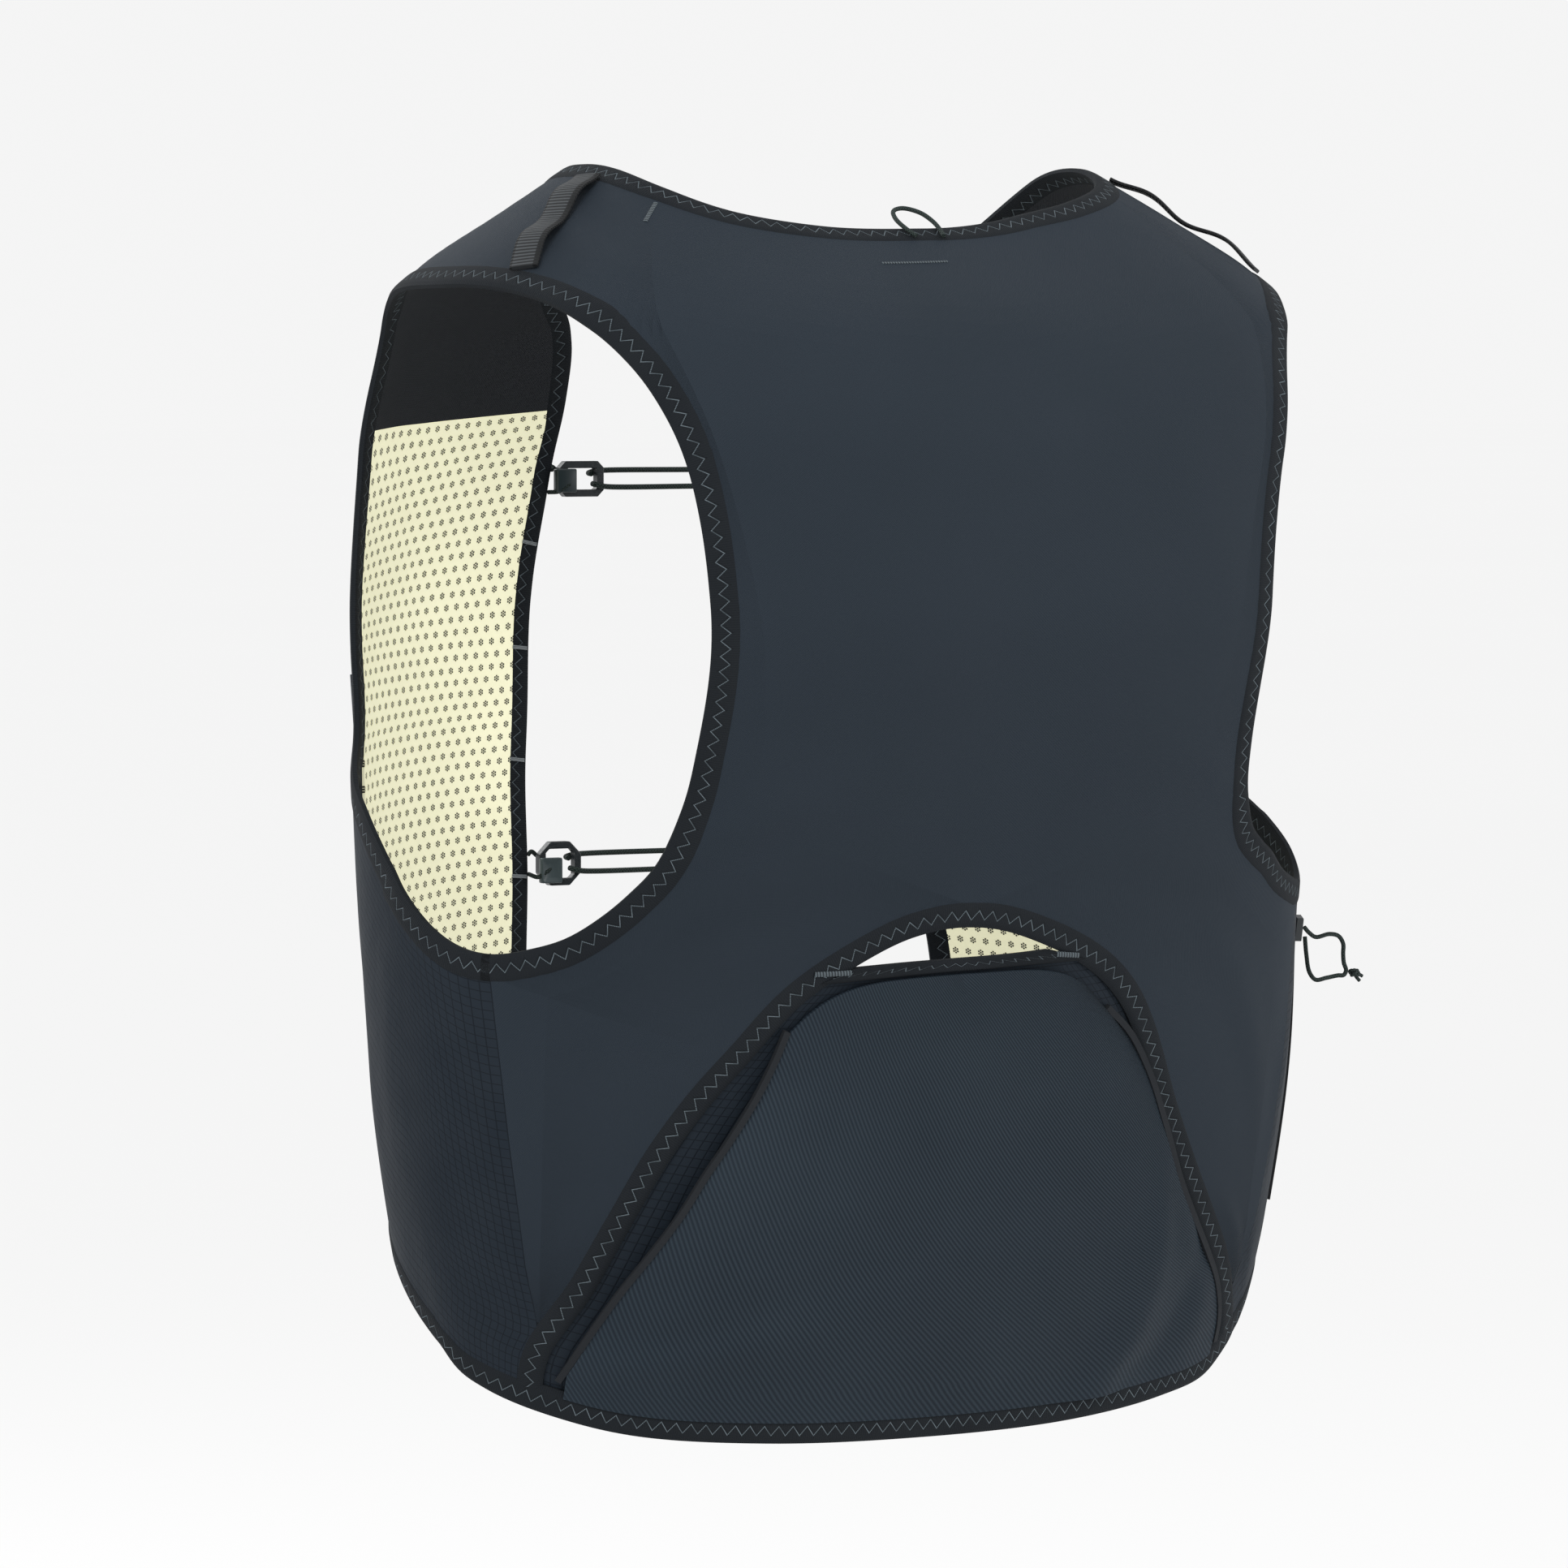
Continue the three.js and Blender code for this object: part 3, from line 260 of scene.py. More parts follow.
braid = braided("braided_cord", (0.008, 0.013, 0.012), (0.035, 0.05, 0.046), 1.2)
pull_route = [
    (180.84, -32.48, -256.52), (182.84, -32.48, -258.52), (185.84, -32.48, -260.32),
    (191.74, -32.48, -259.42), (195.74, -32.48, -260.32), (197.74, -32.48, -263.22),
    (197.74, -32.48, -266.72), (198.04, -32.48, -270.12), (199.04, -32.48, -273.02),
    (198.04, -32.48, -274.62), (195.44, -32.48, -274.72), (190.44, -32.48, -275.42),
    (185.84, -32.48, -275.92), (183.14, -32.48, -273.02), (181.84, -32.48, -266.72),
    (181.14, -32.48, -260.02),
]
hang_route = [
    (-5.14, -71.94, -6.68), (-6.66, -67.6, -4.22), (-7.38, -61.51, -0.77), (-5.3, -56.29, 2.18),
    (-0.43, -54.55, 3.16), (4.64, -57.16, 1.69), (6.74, -62.38, -1.27), (6.76, -67.6, -4.22),
    (5.86, -71.94, -6.68),
]
thin, thick = 0.0016, 0.002
zip_cord, zip_line = cord_piece("zip_pull_braid", pull_route, thin, braid, ["zip_pull_cord"])
hang_cord, hang_line = cord_piece("neck_loop_braid", hang_route, thin, braid, ["neck_hang_loop"])
upper_bungee_route = [
    (-38.75, 107.72, -91.65), (-38.25, 110.73, -91.35), (-35.75, 111.22, -90.75), (-31.85, 111.22, -90.45),
    (3.83, 112.22, -90.45), (45.51, 111.22, -90.45), (49.41, 111.22, -90.75), (51.91, 110.73, -91.65),
    (52.41, 107.72, -93.45), (51.91, 104.72, -95.25), (49.41, 104.22, -96.15), (45.51, 104.22, -96.45),
    (3.83, 105.22, -96.45), (-31.85, 104.22, -96.45), (-35.75, 104.22, -96.15), (-38.25, 104.72, -95.55),
    (-38.75, 106.82, -95.25),
]
lower_bungee_route = [
    (-54.98, 94.86, -231.11), (-54.48, 97.86, -230.81), (-51.98, 98.36, -230.21), (-48.08, 98.36, -229.91),
    (7.75, 99.36, -229.91), (68.58, 98.36, -229.91), (72.48, 98.36, -230.21), (74.98, 97.86, -231.11),
    (75.48, 94.86, -232.91), (74.98, 91.86, -234.71), (72.48, 91.36, -235.61), (68.58, 91.36, -235.91),
    (7.75, 92.36, -235.91), (-48.08, 91.36, -235.91), (-51.98, 91.36, -235.61), (-54.48, 91.86, -235.01),
    (-54.98, 93.96, -234.71),
]
edge_loop_routes = {
    "upper_left": [
        (-54.58, 108.46, -90.18), (-53.51, 110.59, -88.92), (-51.15, 111.02, -90.42),
        (-48.79, 110.59, -91.92), (-48.35, 107.72, -93.42), (-48.79, 104.86, -94.92),
        (-51.15, 104.42, -96.42), (-53.51, 104.86, -97.92), (-56.1, 108.52, -98.25),
    ],
    "upper_right": [
        (61.77, 107.35, -89.21), (61.17, 110.59, -88.98), (58.81, 111.02, -90.48),
        (56.45, 110.59, -91.98), (56.01, 107.72, -93.48), (56.45, 104.86, -94.98),
        (58.81, 104.42, -96.48), (61.17, 104.86, -97.98), (64.01, 107.28, -98.3),
    ],
    "lower_left": [
        (-70.36, 97.23, -229.57), (-68.74, 97.72, -228.5), (-66.38, 98.16, -230), (-64.02, 97.72, -231.5),
        (-63.58, 94.86, -233), (-64.02, 92, -234.5), (-66.38, 91.56, -236), (-68.74, 92, -237.5),
        (-70.66, 96.43, -236.58),
    ],
    "lower_right": [
        (85.64, 93.82, -229.5), (84.24, 97.72, -228.32), (81.88, 98.16, -229.82), (79.52, 97.72, -231.32),
        (79.08, 94.86, -232.82), (79.52, 92, -234.32), (81.88, 91.56, -235.82), (84.24, 92, -237.32),
        (86.58, 92.73, -237.61),
    ],
}
cord_piece("chest_bungee_upper_braid", upper_bungee_route, thick, braid, ["chest_bungee_upper"])
cord_piece("chest_bungee_lower_braid", lower_bungee_route, thick, braid, ["chest_bungee_lower"])
for where, route in edge_loop_routes.items():
    cord_piece("edge_loop_braid_" + where, route, thin, braid, ["edge_loop_" + where])

# Zip-pull knot. The far turn of the doubled pull cord is tied in one tight overhand knot, a ball
# of crossing turns of the same braid, from which two short tails stick out.
knot_centre = Vector((0.20264, -0.03248, -0.27362))
knot_marks = [
    (
        1000 * knot_centre.x + (1.15 + 0.55 * cos(3 * turn)) * cos(2 * turn),
        1000 * knot_centre.y + (1.15 + 0.55 * cos(3 * turn)) * sin(2 * turn),
        1000 * knot_centre.z + 0.85 * sin(3 * turn) - 0.35,
    )
    for turn in np.linspace(0, 2 * np.pi, 25)
]
tight_cord, tail_cord = 0.0014, 0.0013
knot, _ = cord_piece("zip_pull_knot_braid", knot_marks, tight_cord, braid, ["zip_pull_knot"], 4)
for tail_name, marks in (
    ("upper", [(0.6, 0, -0.4), (1.9, 0, -0.9), (3.4, 0, -1.7)]),
    ("lower", [(0.3, 0.3, -0.8), (1.1, 0.2, -2.1), (2.3, 0, -3.4)]),
):
    places = [knot_centre * 1000 + Vector(mark) for mark in marks]
    tail, _ = cord_piece("zip_pull_tail_" + tail_name, places, tail_cord, braid, [])


# Back panel. Smooth stretch cloth covers the back in two halves, from the arch over the rear pocket
# to the neckline and the shoulder seams. It lies on the form of a torso, which the other cloth
# shares, and shallow drag lines run over all of it.
body_height, half_width, back_depth, front_depth = 0.446, 0.179, 0.137, 0.111
seat_height = 0.957 * body_height
up_mm = 1000 * body_height  # millimetres in one whole step up the cloth
section_names = ("up", "side", "back", "front", "width", "to_back", "to_front", "shift", "squareness")
sections = np.array([
    (0.0, 0.02, -0.004, 0.031, 0.849, 0.496, 0.739, -0.06, 2.35),
    (0.12, 0.152, 0.121, 0.161, 0.927, 0.562, 0.8, -0.088, 2.35),
    (0.26, 0.287, 0.26, 0.291, 0.972, 0.635, 0.856, -0.088, 2.35),
    (0.4, 0.413, 0.399, 0.417, 0.983, 0.737, 0.901, -0.058, 2.35),
    (0.54, 0.538, 0.538, 0.534, 0.989, 0.891, 0.955, -0.051, 2.35),
    (0.66, 0.659, 0.659, 0.65, 1.0, 1.0, 1.0, -0.058, 2.35),
    (0.78, 0.776, 0.767, 0.758, 1.0, 0.993, 0.991, -0.058, 2.35),
    (0.88, 0.877, 0.852, 0.857, 0.955, 0.876, 0.856, -0.058, 2.35),
    (0.92, 0.917, 0.881, 0.886, 0.855, 0.781, 0.766, -0.051, 2.35),
    (0.96, 0.957, 0.913, 0.915, 0.698, 0.628, 0.613, -0.036, 2.35),
    (1.0, 1.0, 0.944, 0.942, 0.525, 0.453, 0.432, 0.0, 2.3),
])
fine_up = np.linspace(0, 1, 2001)


def section_curve(name):
    """The column of the table at every fine height, by a cubic that never overshoots a section."""
    x, y = sections[:, 0], sections[:, section_names.index(name)]
    gap, slope = np.diff(x), np.diff(y) / np.diff(x)
    tangent = np.array([slope[0], *np.zeros(len(x) - 2), slope[-1]])
    for i in range(1, len(x) - 1):
        if slope[i - 1] * slope[i] > 0:
            before, after = 2 * gap[i] + gap[i - 1], gap[i] + 2 * gap[i - 1]
            tangent[i] = (before + after) / (before / slope[i - 1] + after / slope[i])
    i = np.clip(np.searchsorted(x, fine_up) - 1, 0, len(gap) - 1)
    u = (fine_up - x[i]) / gap[i]
    rise = (3 - 2 * u) * u * u
    bend = gap[i] * u * (1 - u) * ((1 - u) * tangent[i] - u * tangent[i + 1])
    return y[i] * (1 - rise) + y[i + 1] * rise + bend


section_curves = {name: section_curve(name) for name in section_names[1:]}


def bare_torso(places):
    turn, up = np.radians(places[..., 0]), np.clip(places[..., 1], 0, 1)
    c, s = np.cos(turn), np.sin(turn)
    at = {name: np.interp(up, fine_up, curve) for name, curve in section_curves.items()}
    centre = at["shift"] * back_depth
    reach = np.where(c > 0, at["to_back"] * back_depth + centre, at["to_front"] * front_depth - centre)
    middle = np.where(c > 0, at["back"], at["front"])
    height = middle + (at["side"] - middle) * np.abs(s) ** 1.8
    power = 2 / at["squareness"]
    return np.stack(
        [
            at["width"] * half_width * np.sign(s) * np.abs(s) ** power,
            centre - np.sign(c) * reach * np.abs(c) ** power,
            height * body_height - seat_height,
        ],
        axis=-1,
    )


def torso_frame(places):
    """The ways along the turn and up the cloth, and the outward normal, at each place."""
    turn_step, up_step = np.array([1.0, 0]), np.array([0, 0.004])
    along_turn = (bare_torso(places + turn_step) - bare_torso(places - turn_step)) / 2
    above, below = places + up_step, places - up_step
    reach = np.clip(above[..., 1], 0, 1) - np.clip(below[..., 1], 0, 1)
    along_up = (bare_torso(above) - bare_torso(below)) / reach[..., None]
    normal = np.cross(along_turn, along_up)
    return along_turn, along_up, normal / np.linalg.norm(normal, axis=-1, keepdims=True)


# Each drag line: turn and height of its middle, its slant, half width and half length in
# millimetres on the cloth, and its height.
drag_lines = [
    (-34, 0.47, 35, 7, 55, 1.1), (-30, 0.40, 20, 9, 60, -1.0), (-44, 0.33, 62, 9, 50, 1.0),
    (34, 0.50, -35, 7, 50, 1.0), (30, 0.42, -18, 9, 60, -0.9), (46, 0.30, -60, 9, 55, 1.1),
    (-12, 0.90, 8, 12, 60, 0.9), (16, 0.86, -6, 12, 60, 0.8), (0, 0.62, 80, 16, 90, -0.8),
    (-20, 0.70, 70, 14, 80, 0.8), (22, 0.72, -72, 14, 80, 0.8), (62, 0.22, 80, 8, 50, 1.0),
    (-64, 0.22, -80, 8, 50, 1.0), (-150, 0.3, 75, 8, 60, 0.9), (150, 0.34, -70, 8, 60, 0.9),
    (-142, 0.7, 80, 8, 60, 0.8), (140, 0.6, -80, 8, 60, 0.8), (52, 0.12, -40, 5, 26, 1.3),
    (58, 0.09, -55, 4, 22, -1.1), (-52, 0.14, 40, 6, 30, 0.9), (88, 0.3, 85, 8, 50, 0.9),
    (-92, 0.28, 88, 8, 50, 0.9), (105, 0.26, 84, 8, 50, -0.8), (-110, 0.3, 86, 8, 50, -0.8),
]


def fold(x, y, slant, width, length, rise, bend=0.0):
    """The height of one long soft fold at a distance from its middle."""
    along = x * cos(radians(slant)) + y * sin(radians(slant))
    across = y * cos(radians(slant)) - x * sin(radians(slant)) + bend * along**2
    return rise * np.exp(-((across / width) ** 2) - (along / length) ** 2)


def folds(places):
    """How far the cloth on the wearer stands off its plain form, in metres."""
    turn_mm, bend = 2.4, 0.002
    height = np.zeros(places.shape[:-1])
    for turn, up, slant, width, length, rise in drag_lines:
        x, y = (places[..., 0] - turn) * turn_mm, (places[..., 1] - up) * up_mm
        height += fold(x, y, slant, width, length, rise / 1000, bend)
    return height


def lifted(places, lift):
    """Points at a lift, in millimetres, from the torso."""
    places = np.asarray(places, float)
    normal = torso_frame(places)[2]
    return bare_torso(places) + normal * (np.asarray(lift)[..., None] / 1000 + folds(places)[..., None])


class Route:
    """A smooth line on the torso, walked by its share of length."""

    def __init__(self, marks, closed=False):
        turn_scale, steps = 150, 40
        scaled = np.array([(turn / turn_scale, up) for turn, up in marks])
        line = smooth_line(scaled, steps, closed) * (turn_scale, 1)
        line[:, 1] = np.clip(line[:, 1], 0, 1)
        self.places, self.closed, self.steps = line, closed, steps
        walked = np.linalg.norm(np.diff(bare_torso(line), axis=0), axis=1)
        self.shares = np.concatenate([[0], np.cumsum(walked)])
        self.length = self.shares[-1]
        self.shares /= self.length

    def mark(self, index):
        return self.shares[index * self.steps]

    def at(self, shares):
        shares = np.asarray(shares, float)
        shares = shares % 1 if self.closed else np.clip(shares, 0, 1)
        return np.stack([np.interp(shares, self.shares, self.places[:, k]) for k in (0, 1)], axis=-1)

    def beside(self, shares, width):
        """Places beside the route, at a width in millimetres to its left (+) or right (-)."""
        shares = np.asarray(shares, float)
        place = self.at(shares)
        step = 0.0015
        low, high = shares - step, shares + step
        if self.closed:
            low, high = low + 1, high + 1
        travel = bare_torso(self.at(high)) - bare_torso(self.at(low))
        travel /= np.linalg.norm(travel, axis=-1, keepdims=True)
        along_turn, along_up, normal = torso_frame(place)
        wanted = np.cross(normal, travel)
        wanted *= (np.broadcast_to(np.asarray(width, float), wanted.shape[:-1]) / 1000)[..., None]
        dot = lambda p, q: (p * q).sum(axis=-1)
        a, b, c = dot(along_turn, along_turn), dot(along_turn, along_up), dot(along_up, along_up)
        p, q = dot(along_turn, wanted), dot(along_up, wanted)
        scale = a * c - b * b
        moved = place + np.stack([(p * c - q * b) / scale, (q * a - p * b) / scale], axis=-1)
        moved[..., 1] = np.minimum(moved[..., 1], 1)
        return moved


front_edge_left = [
    (-157, 0.15), (-158, 0.25), (-158.8, 0.333), (-159.7, 0.41), (-160.3, 0.51), (-161.5, 0.584),
    (-163, 0.68), (-165, 0.76), (-166.3, 0.83), (-164, 0.89), (-157, 0.925), (-146, 0.953),
    (-130, 0.977), (-110, 0.992), (-90, 0.995), (-75, 0.994),
]
back_neck_edge = [(-58, 0.99), (-39, 0.987), (-20, 0.992), (0, 1.0), (24, 1.0), (40, 0.996), (58, 0.993)]
front_edge_right = [
    (75, 0.995), (90, 0.996), (110, 0.992), (130, 0.977), (146, 0.953), (157, 0.925), (163, 0.89),
    (164.5, 0.83), (162.5, 0.76), (160, 0.68), (157, 0.584), (155.5, 0.51), (154, 0.41),
    (152, 0.333), (151, 0.25), (150, 0.15),
]
hem_edge = [
    (-157, 0.15), (-138, 0.141), (-120, 0.125), (-105, 0.097), (-94, 0.067), (-85, 0.04),
    (-75, 0.027), (-58, 0.013), (-42, 0.004), (-20, 0.002), (0, 0.003), (20, 0.004), (39, 0.008),
    (53, 0.014), (61, 0.029), (70, 0.05), (80, 0.072), (95, 0.1), (110, 0.12), (130, 0.138),
    (150, 0.15),
]
armhole_back = [
    (64.5, 0.377), (57, 0.384), (51, 0.395), (46, 0.413), (42, 0.434), (38.5, 0.46), (36, 0.505),
    (35, 0.55), (34.5, 0.61), (35, 0.67), (36.2, 0.73), (38, 0.778), (40.5, 0.814), (44, 0.845),
    (49, 0.871), (54, 0.886),
]
armhole_over = [
    (60, 0.896), (68, 0.902), (78, 0.904), (88, 0.903), (98, 0.902), (108, 0.899), (116, 0.892),
    (121.5, 0.878), (124.5, 0.85), (125.2, 0.815), (124, 0.77), (122, 0.72), (120, 0.67),
    (119, 0.62), (118.5, 0.58),
]
armhole_bottom = [
    (116.5, 0.55), (108, 0.518), (99, 0.493), (92.5, 0.463), (87, 0.427), (80, 0.4), (72, 0.382),
]
arch_edge = [
    (-59, 0.0385), (-56.6, 0.058), (-52, 0.08), (-46.8, 0.107), (-40, 0.16), (-33.2, 0.222),
    (-28, 0.266), (-23.5, 0.3), (-17.5, 0.347), (-11, 0.38), (-5.2, 0.401), (0, 0.407), (7.3, 0.39),
    (14.3, 0.363), (18.5, 0.337), (21.6, 0.307), (27.3, 0.237), (32.8, 0.185), (39, 0.139),
    (45.5, 0.101), (51, 0.07), (54.8, 0.046),
]
side_seam_marks = [(59.4, 0.125), (59.8, 0.17), (61, 0.24), (63, 0.31)]
neck_route = Route(front_edge_left + back_neck_edge + front_edge_right)
hem_route, arch_route = Route(hem_edge), Route(arch_edge)
left_shoulder = neck_route.mark(len(front_edge_left))
neck_middle = neck_route.mark(len(front_edge_left) + 3)
right_shoulder = neck_route.mark(len(front_edge_left) + len(back_neck_edge) - 1)
arch_middle = arch_route.mark(11)
seam_meets_arch, leg_bottom = 0.073, 0.081
tuck = 7.6  # how far in from a bound edge the panels begin, under the binding


def lifted_marks(marks, side):
    """The armhole's marks for one side. On the right its bottom sits a little higher."""
    right_lift, lift_start, lift_span = (0.04 if side > 0 else 0), 0.5, 0.09
    return [
        (side * turn, up + right_lift * min(1, max(0, (lift_start - up) / lift_span)))
        for turn, up in marks
    ]


both_sides = (("left", -1), ("right", 1))
armhole_routes, armhole_shares = {}, {}
for name, side in both_sides:
    route = Route(lifted_marks(armhole_back + armhole_over + armhole_bottom, side), closed=True)
    armhole_routes[name] = route
    armhole_shares[name] = (route.mark(len(armhole_back)), route.mark(len(armhole_back) + len(armhole_over)))

hem_table = hem_route.beside(np.linspace(0, 1, 800), tuck)


def hem_place(turn):
    turn = np.asarray(turn, float)
    return np.stack([turn, np.interp(turn, hem_table[:, 0], hem_table[:, 1])], axis=-1)


def above_hem(places):
    places = places.copy()
    places[..., 1] = np.maximum(places[..., 1], hem_place(places[..., 0])[..., 1])
    return places


def arch_share_at(name, up):
    """The share of the arch at which its outer side reaches this height, on one leg."""
    shares = np.linspace(0, arch_middle, 400) if name == "left" else np.linspace(1, arch_middle, 400)
    heights = arch_route.beside(shares, tuck)[:, 1]
    return shares[np.argmax(heights >= up)]


def side_seam(name, side):
    end, meet = (0.0 if name == "left" else 1.0), arch_share_at(name, seam_meets_arch)
    along_arch = [arch_route.beside(share, tuck) for share in ((end + meet) / 2, meet)]
    bottom = hem_place(arch_route.beside(end, tuck)[0])
    marks = [(side * turn, up) for turn, up in side_seam_marks]
    top = armhole_routes[name].beside(0.0, side * tuck)
    return Route([tuple(bottom), *map(tuple, along_arch), *marks, tuple(top)])


side_seams = {name: side_seam(name, side) for name, side in both_sides}


def between(a, b, count):
    u = np.linspace(0, 1, count + 1)[:, None]
    return np.asarray(a) * (1 - u) + np.asarray(b) * u


def patch(bottom, top, left, right, ease=1.0):
    """Places between four edges that meet at their corners."""
    u = np.linspace(0, 1, len(bottom))[None, :, None]
    v = np.linspace(0, 1, len(left))[:, None, None]
    low = bottom[None] - bottom[0] * (1 - u) - bottom[-1] * u
    high = top[None] - top[0] * (1 - u) - top[-1] * u
    rise = v**ease
    return left[:, None] * (1 - u) + right[:, None] * u + low * (1 - rise) + high * rise


def cloth_piece(name, places, low, high, finish, slot, nodes, wraps=False, joined=False, is_sheet=False):
    """A wall of cloth over a grid of places, between two lifts that may vary over the grid."""
    places = np.asarray(places, float)
    rows, columns = places.shape[:2]
    outer = lifted(places, np.broadcast_to(high, (rows, columns)))
    inner = lifted(places, np.broadcast_to(low, (rows, columns)))
    along = np.concatenate([[0], np.cumsum(np.linalg.norm(np.diff(outer, axis=0), axis=2).mean(axis=1))])
    across = np.concatenate([[0], np.cumsum(np.linalg.norm(np.diff(outer, axis=1), axis=2).mean(axis=0))])
    ways = np.stack(np.meshgrid(along, across, indexing="ij"), axis=-1).reshape(-1, 2)
    half = rows * columns
    at = np.arange(half).reshape(rows, columns)
    if wraps:
        at = np.vstack([at, at[:1]])
    a, b, c, d = at[:-1, :-1], at[:-1, 1:], at[1:, 1:], at[1:, :-1]
    top = np.stack([a, b, c, d], axis=-1).reshape(-1, 4)
    faces = [top, top[:, ::-1] + half]
    rims = [at[:, 0]] if joined else [at[:, 0], at[::-1, -1]]
    if not wraps:
        rims += [at[0, ::-1], at[-1, :]]
    for rim in rims:
        faces.append(np.stack([rim[:-1], rim[1:], rim[1:] + half, rim[:-1] + half], axis=-1))
    points = np.vstack([outer.reshape(-1, 3), inner.reshape(-1, 3)])
    piece = finished_mesh(
        name, points, np.vstack(faces).tolist(), finish, nodes, np.vstack([ways, ways])
    )
    if is_sheet:
        rising, falling = outer[1:, 1:] - outer[:-1, :-1], outer[1:, :-1] - outer[:-1, 1:]
    return piece


shell = Finish("stretch_shell", (0.016, 0.023, 0.032), 0.75, Specular_IOR_Level=0.12)
along, across = shell.cloth_way()
knit = along.wave(0.9) * across.wave(0.7)
shade = shell.noise(9.0, 3.0)
shell.paint("Base Color", shell.mixed(shade, (0.015, 0.022, 0.03), (0.022, 0.03, 0.041)))
shell.paint("Roughness", 0.72 + knit * 0.03)
shell.relief(knit * 0.00006 + shell.noise(60.0, 3.0) * 0.0004, 1.0)

shell_lifts = (1.3, 2.5)
half_rows, seam_rows, arch_rows = 66, 18, 34
shoulder_columns, neck_columns = 12, 28
for name, side in both_sides:
    seam, route = side_seams[name], armhole_routes[name]
    shares = np.linspace(0, 1, 500)
    leg_end = shares[np.argmax(seam.at(shares)[:, 1] >= leg_bottom)]
    up_seam = seam.at(np.linspace(leg_end, 1, seam_rows + 1)[:-1])
    armhole_steps = np.linspace(0, armhole_shares[name][0], half_rows - seam_rows + 1)
    outer = np.vstack([up_seam, route.beside(armhole_steps, side * tuck)])
    shoulder = left_shoulder if name == "left" else right_shoulder
    along_neck = neck_route.beside(np.linspace(shoulder, neck_middle, neck_columns + 1), -tuck)
    top = np.vstack([between(outer[-1], along_neck[0], shoulder_columns)[:-1], along_neck])
    arch_steps = np.linspace(arch_share_at(name, leg_bottom), arch_middle, arch_rows + 1)
    inner_arch = arch_route.beside(arch_steps, tuck)
    inner = np.vstack([inner_arch, between(inner_arch[-1], top[-1], half_rows - arch_rows)[1:]])
    bottom = between(outer[0], inner[0], shoulder_columns + neck_columns)
    places = patch(bottom, top, outer, inner, 2.5)
    cloth_piece(
        "back_shell_" + name, places, *shell_lifts, shell, "shell", ["back_panel"], is_sheet=True
    )

# Side panels. Thin ripstop closes each side below the armhole, between the side seam and the front
# seam. Its grid of thicker threads shows as faint dark lines.
ripstop = Finish("ripstop", (0.013, 0.018, 0.025), 0.65, Specular_IOR_Level=0.12)
along, across = ripstop.cloth_way()
grid = [(way / 3.4).maths("FRACT").below(0.1, 0.03) for way in (along, across)]
lines = grid[0].maths("MAXIMUM", grid[1])
crinkle = ripstop.noise(45.0, 4.0)
ripstop_base = ripstop.mixed(crinkle, (0.008, 0.013, 0.02), (0.015, 0.021, 0.029))
ripstop.paint("Base Color", ripstop.mixed(lines * 0.7, ripstop_base, (0.003, 0.005, 0.008)))
ripstop.relief(lines * 0.0001 + crinkle * 0.0012, 1.0)

front_seams = {}
for name, side in both_sides:
    route, seam = armhole_routes[name], side_seams[name]
    top_share = armhole_shares[name][1]
    corner = route.beside(top_share, side * tuck)
    foot = hem_place(side * 118.5)
    front_seams[name] = Route([tuple(foot), (side * 117.5, 0.3), (side * 116.8, 0.42), tuple(corner)])
    steps = np.linspace(0, 1, 41)
    left, right = seam.at(steps), front_seams[name].at(steps)
    top = route.beside(np.linspace(1, top_share, 31), side * tuck)
    bottom = hem_place(np.linspace(left[0, 0], right[0, 0], 31))
    places = above_hem(patch(bottom, top, left, right))
    cloth_piece(
        "side_ripstop_" + name, places, *shell_lifts, ripstop, "ripstop", ["side_panel_" + name],
        is_sheet=True,
    )

# Fronts. Each front is a shell that goes over the shoulder to the seam at the back, with a near-black
# knit facing inside its top and a cream net lining, dotted with clusters of small holes, below it.
facing_knit = Finish("facing_knit", (0.018, 0.02, 0.024), 0.9, Specular_IOR_Level=0.2)
along, across = facing_knit.cloth_way()
rows_knit = along.wave(1.1) * across.wave(0.8)
knit_tone = facing_knit.mixed(rows_knit * 0.5 + 0.5, (0.016, 0.018, 0.022), (0.026, 0.029, 0.034))
facing_knit.paint("Base Color", knit_tone)
facing_knit.relief(rows_knit, 0.00012)

# The net's emission is painted light. It glows faintly so that it stays pale in the shade inside the front.
net = Finish("lining_net", (0.8, 0.78, 0.56), 0.7, Specular_IOR_Level=0.2, Emission_Strength=0.42)
along, across = net.cloth_way()
pitch, spread, hole = 5.2, 0.9, 0.36


def from_nearest(way, size, offset):
    """Distance along one way from the nearest point of a lattice."""
    return ((way / size + offset).maths("FRACT") - 0.5) * size


first, second = (
    [from_nearest(along, pitch * 1.732, offset), from_nearest(across, pitch, offset)]
    for offset in (0.0, 0.5)
)
far_first, far_second = (p[0] * p[0] + p[1] * p[1] for p in (first, second))
is_first = far_first.maths("LESS_THAN", far_second)
u, v = ((a * is_first + b * (1 - is_first)).maths("ABSOLUTE") for a, b in zip(first, second))
dots = [
    ((u - x) * (u - x) + (v - y) * (v - y)).maths("SQRT")
    for x, y in ((0, 0), (spread, 0), (spread / 2, spread * 0.866))
]
nearest = dots[0].maths("MINIMUM", dots[1]).maths("MINIMUM", dots[2])
holes = nearest.below(hole, 0.08)
net_tone = net.mixed(net.noise(25.0, 3.0), (0.9, 0.88, 0.63), (0.8, 0.78, 0.54))
net_colour = net.mixed(holes, net_tone, (0.03, 0.03, 0.025))
net.paint("Base Color", net_colour)
# The net's own colour is also the colour of its painted glow.
net.paint("Emission Color", net_colour)
net.relief(net.noise(40.0, 3.0) * 0.0015 - holes * 0.0003, 1.0)

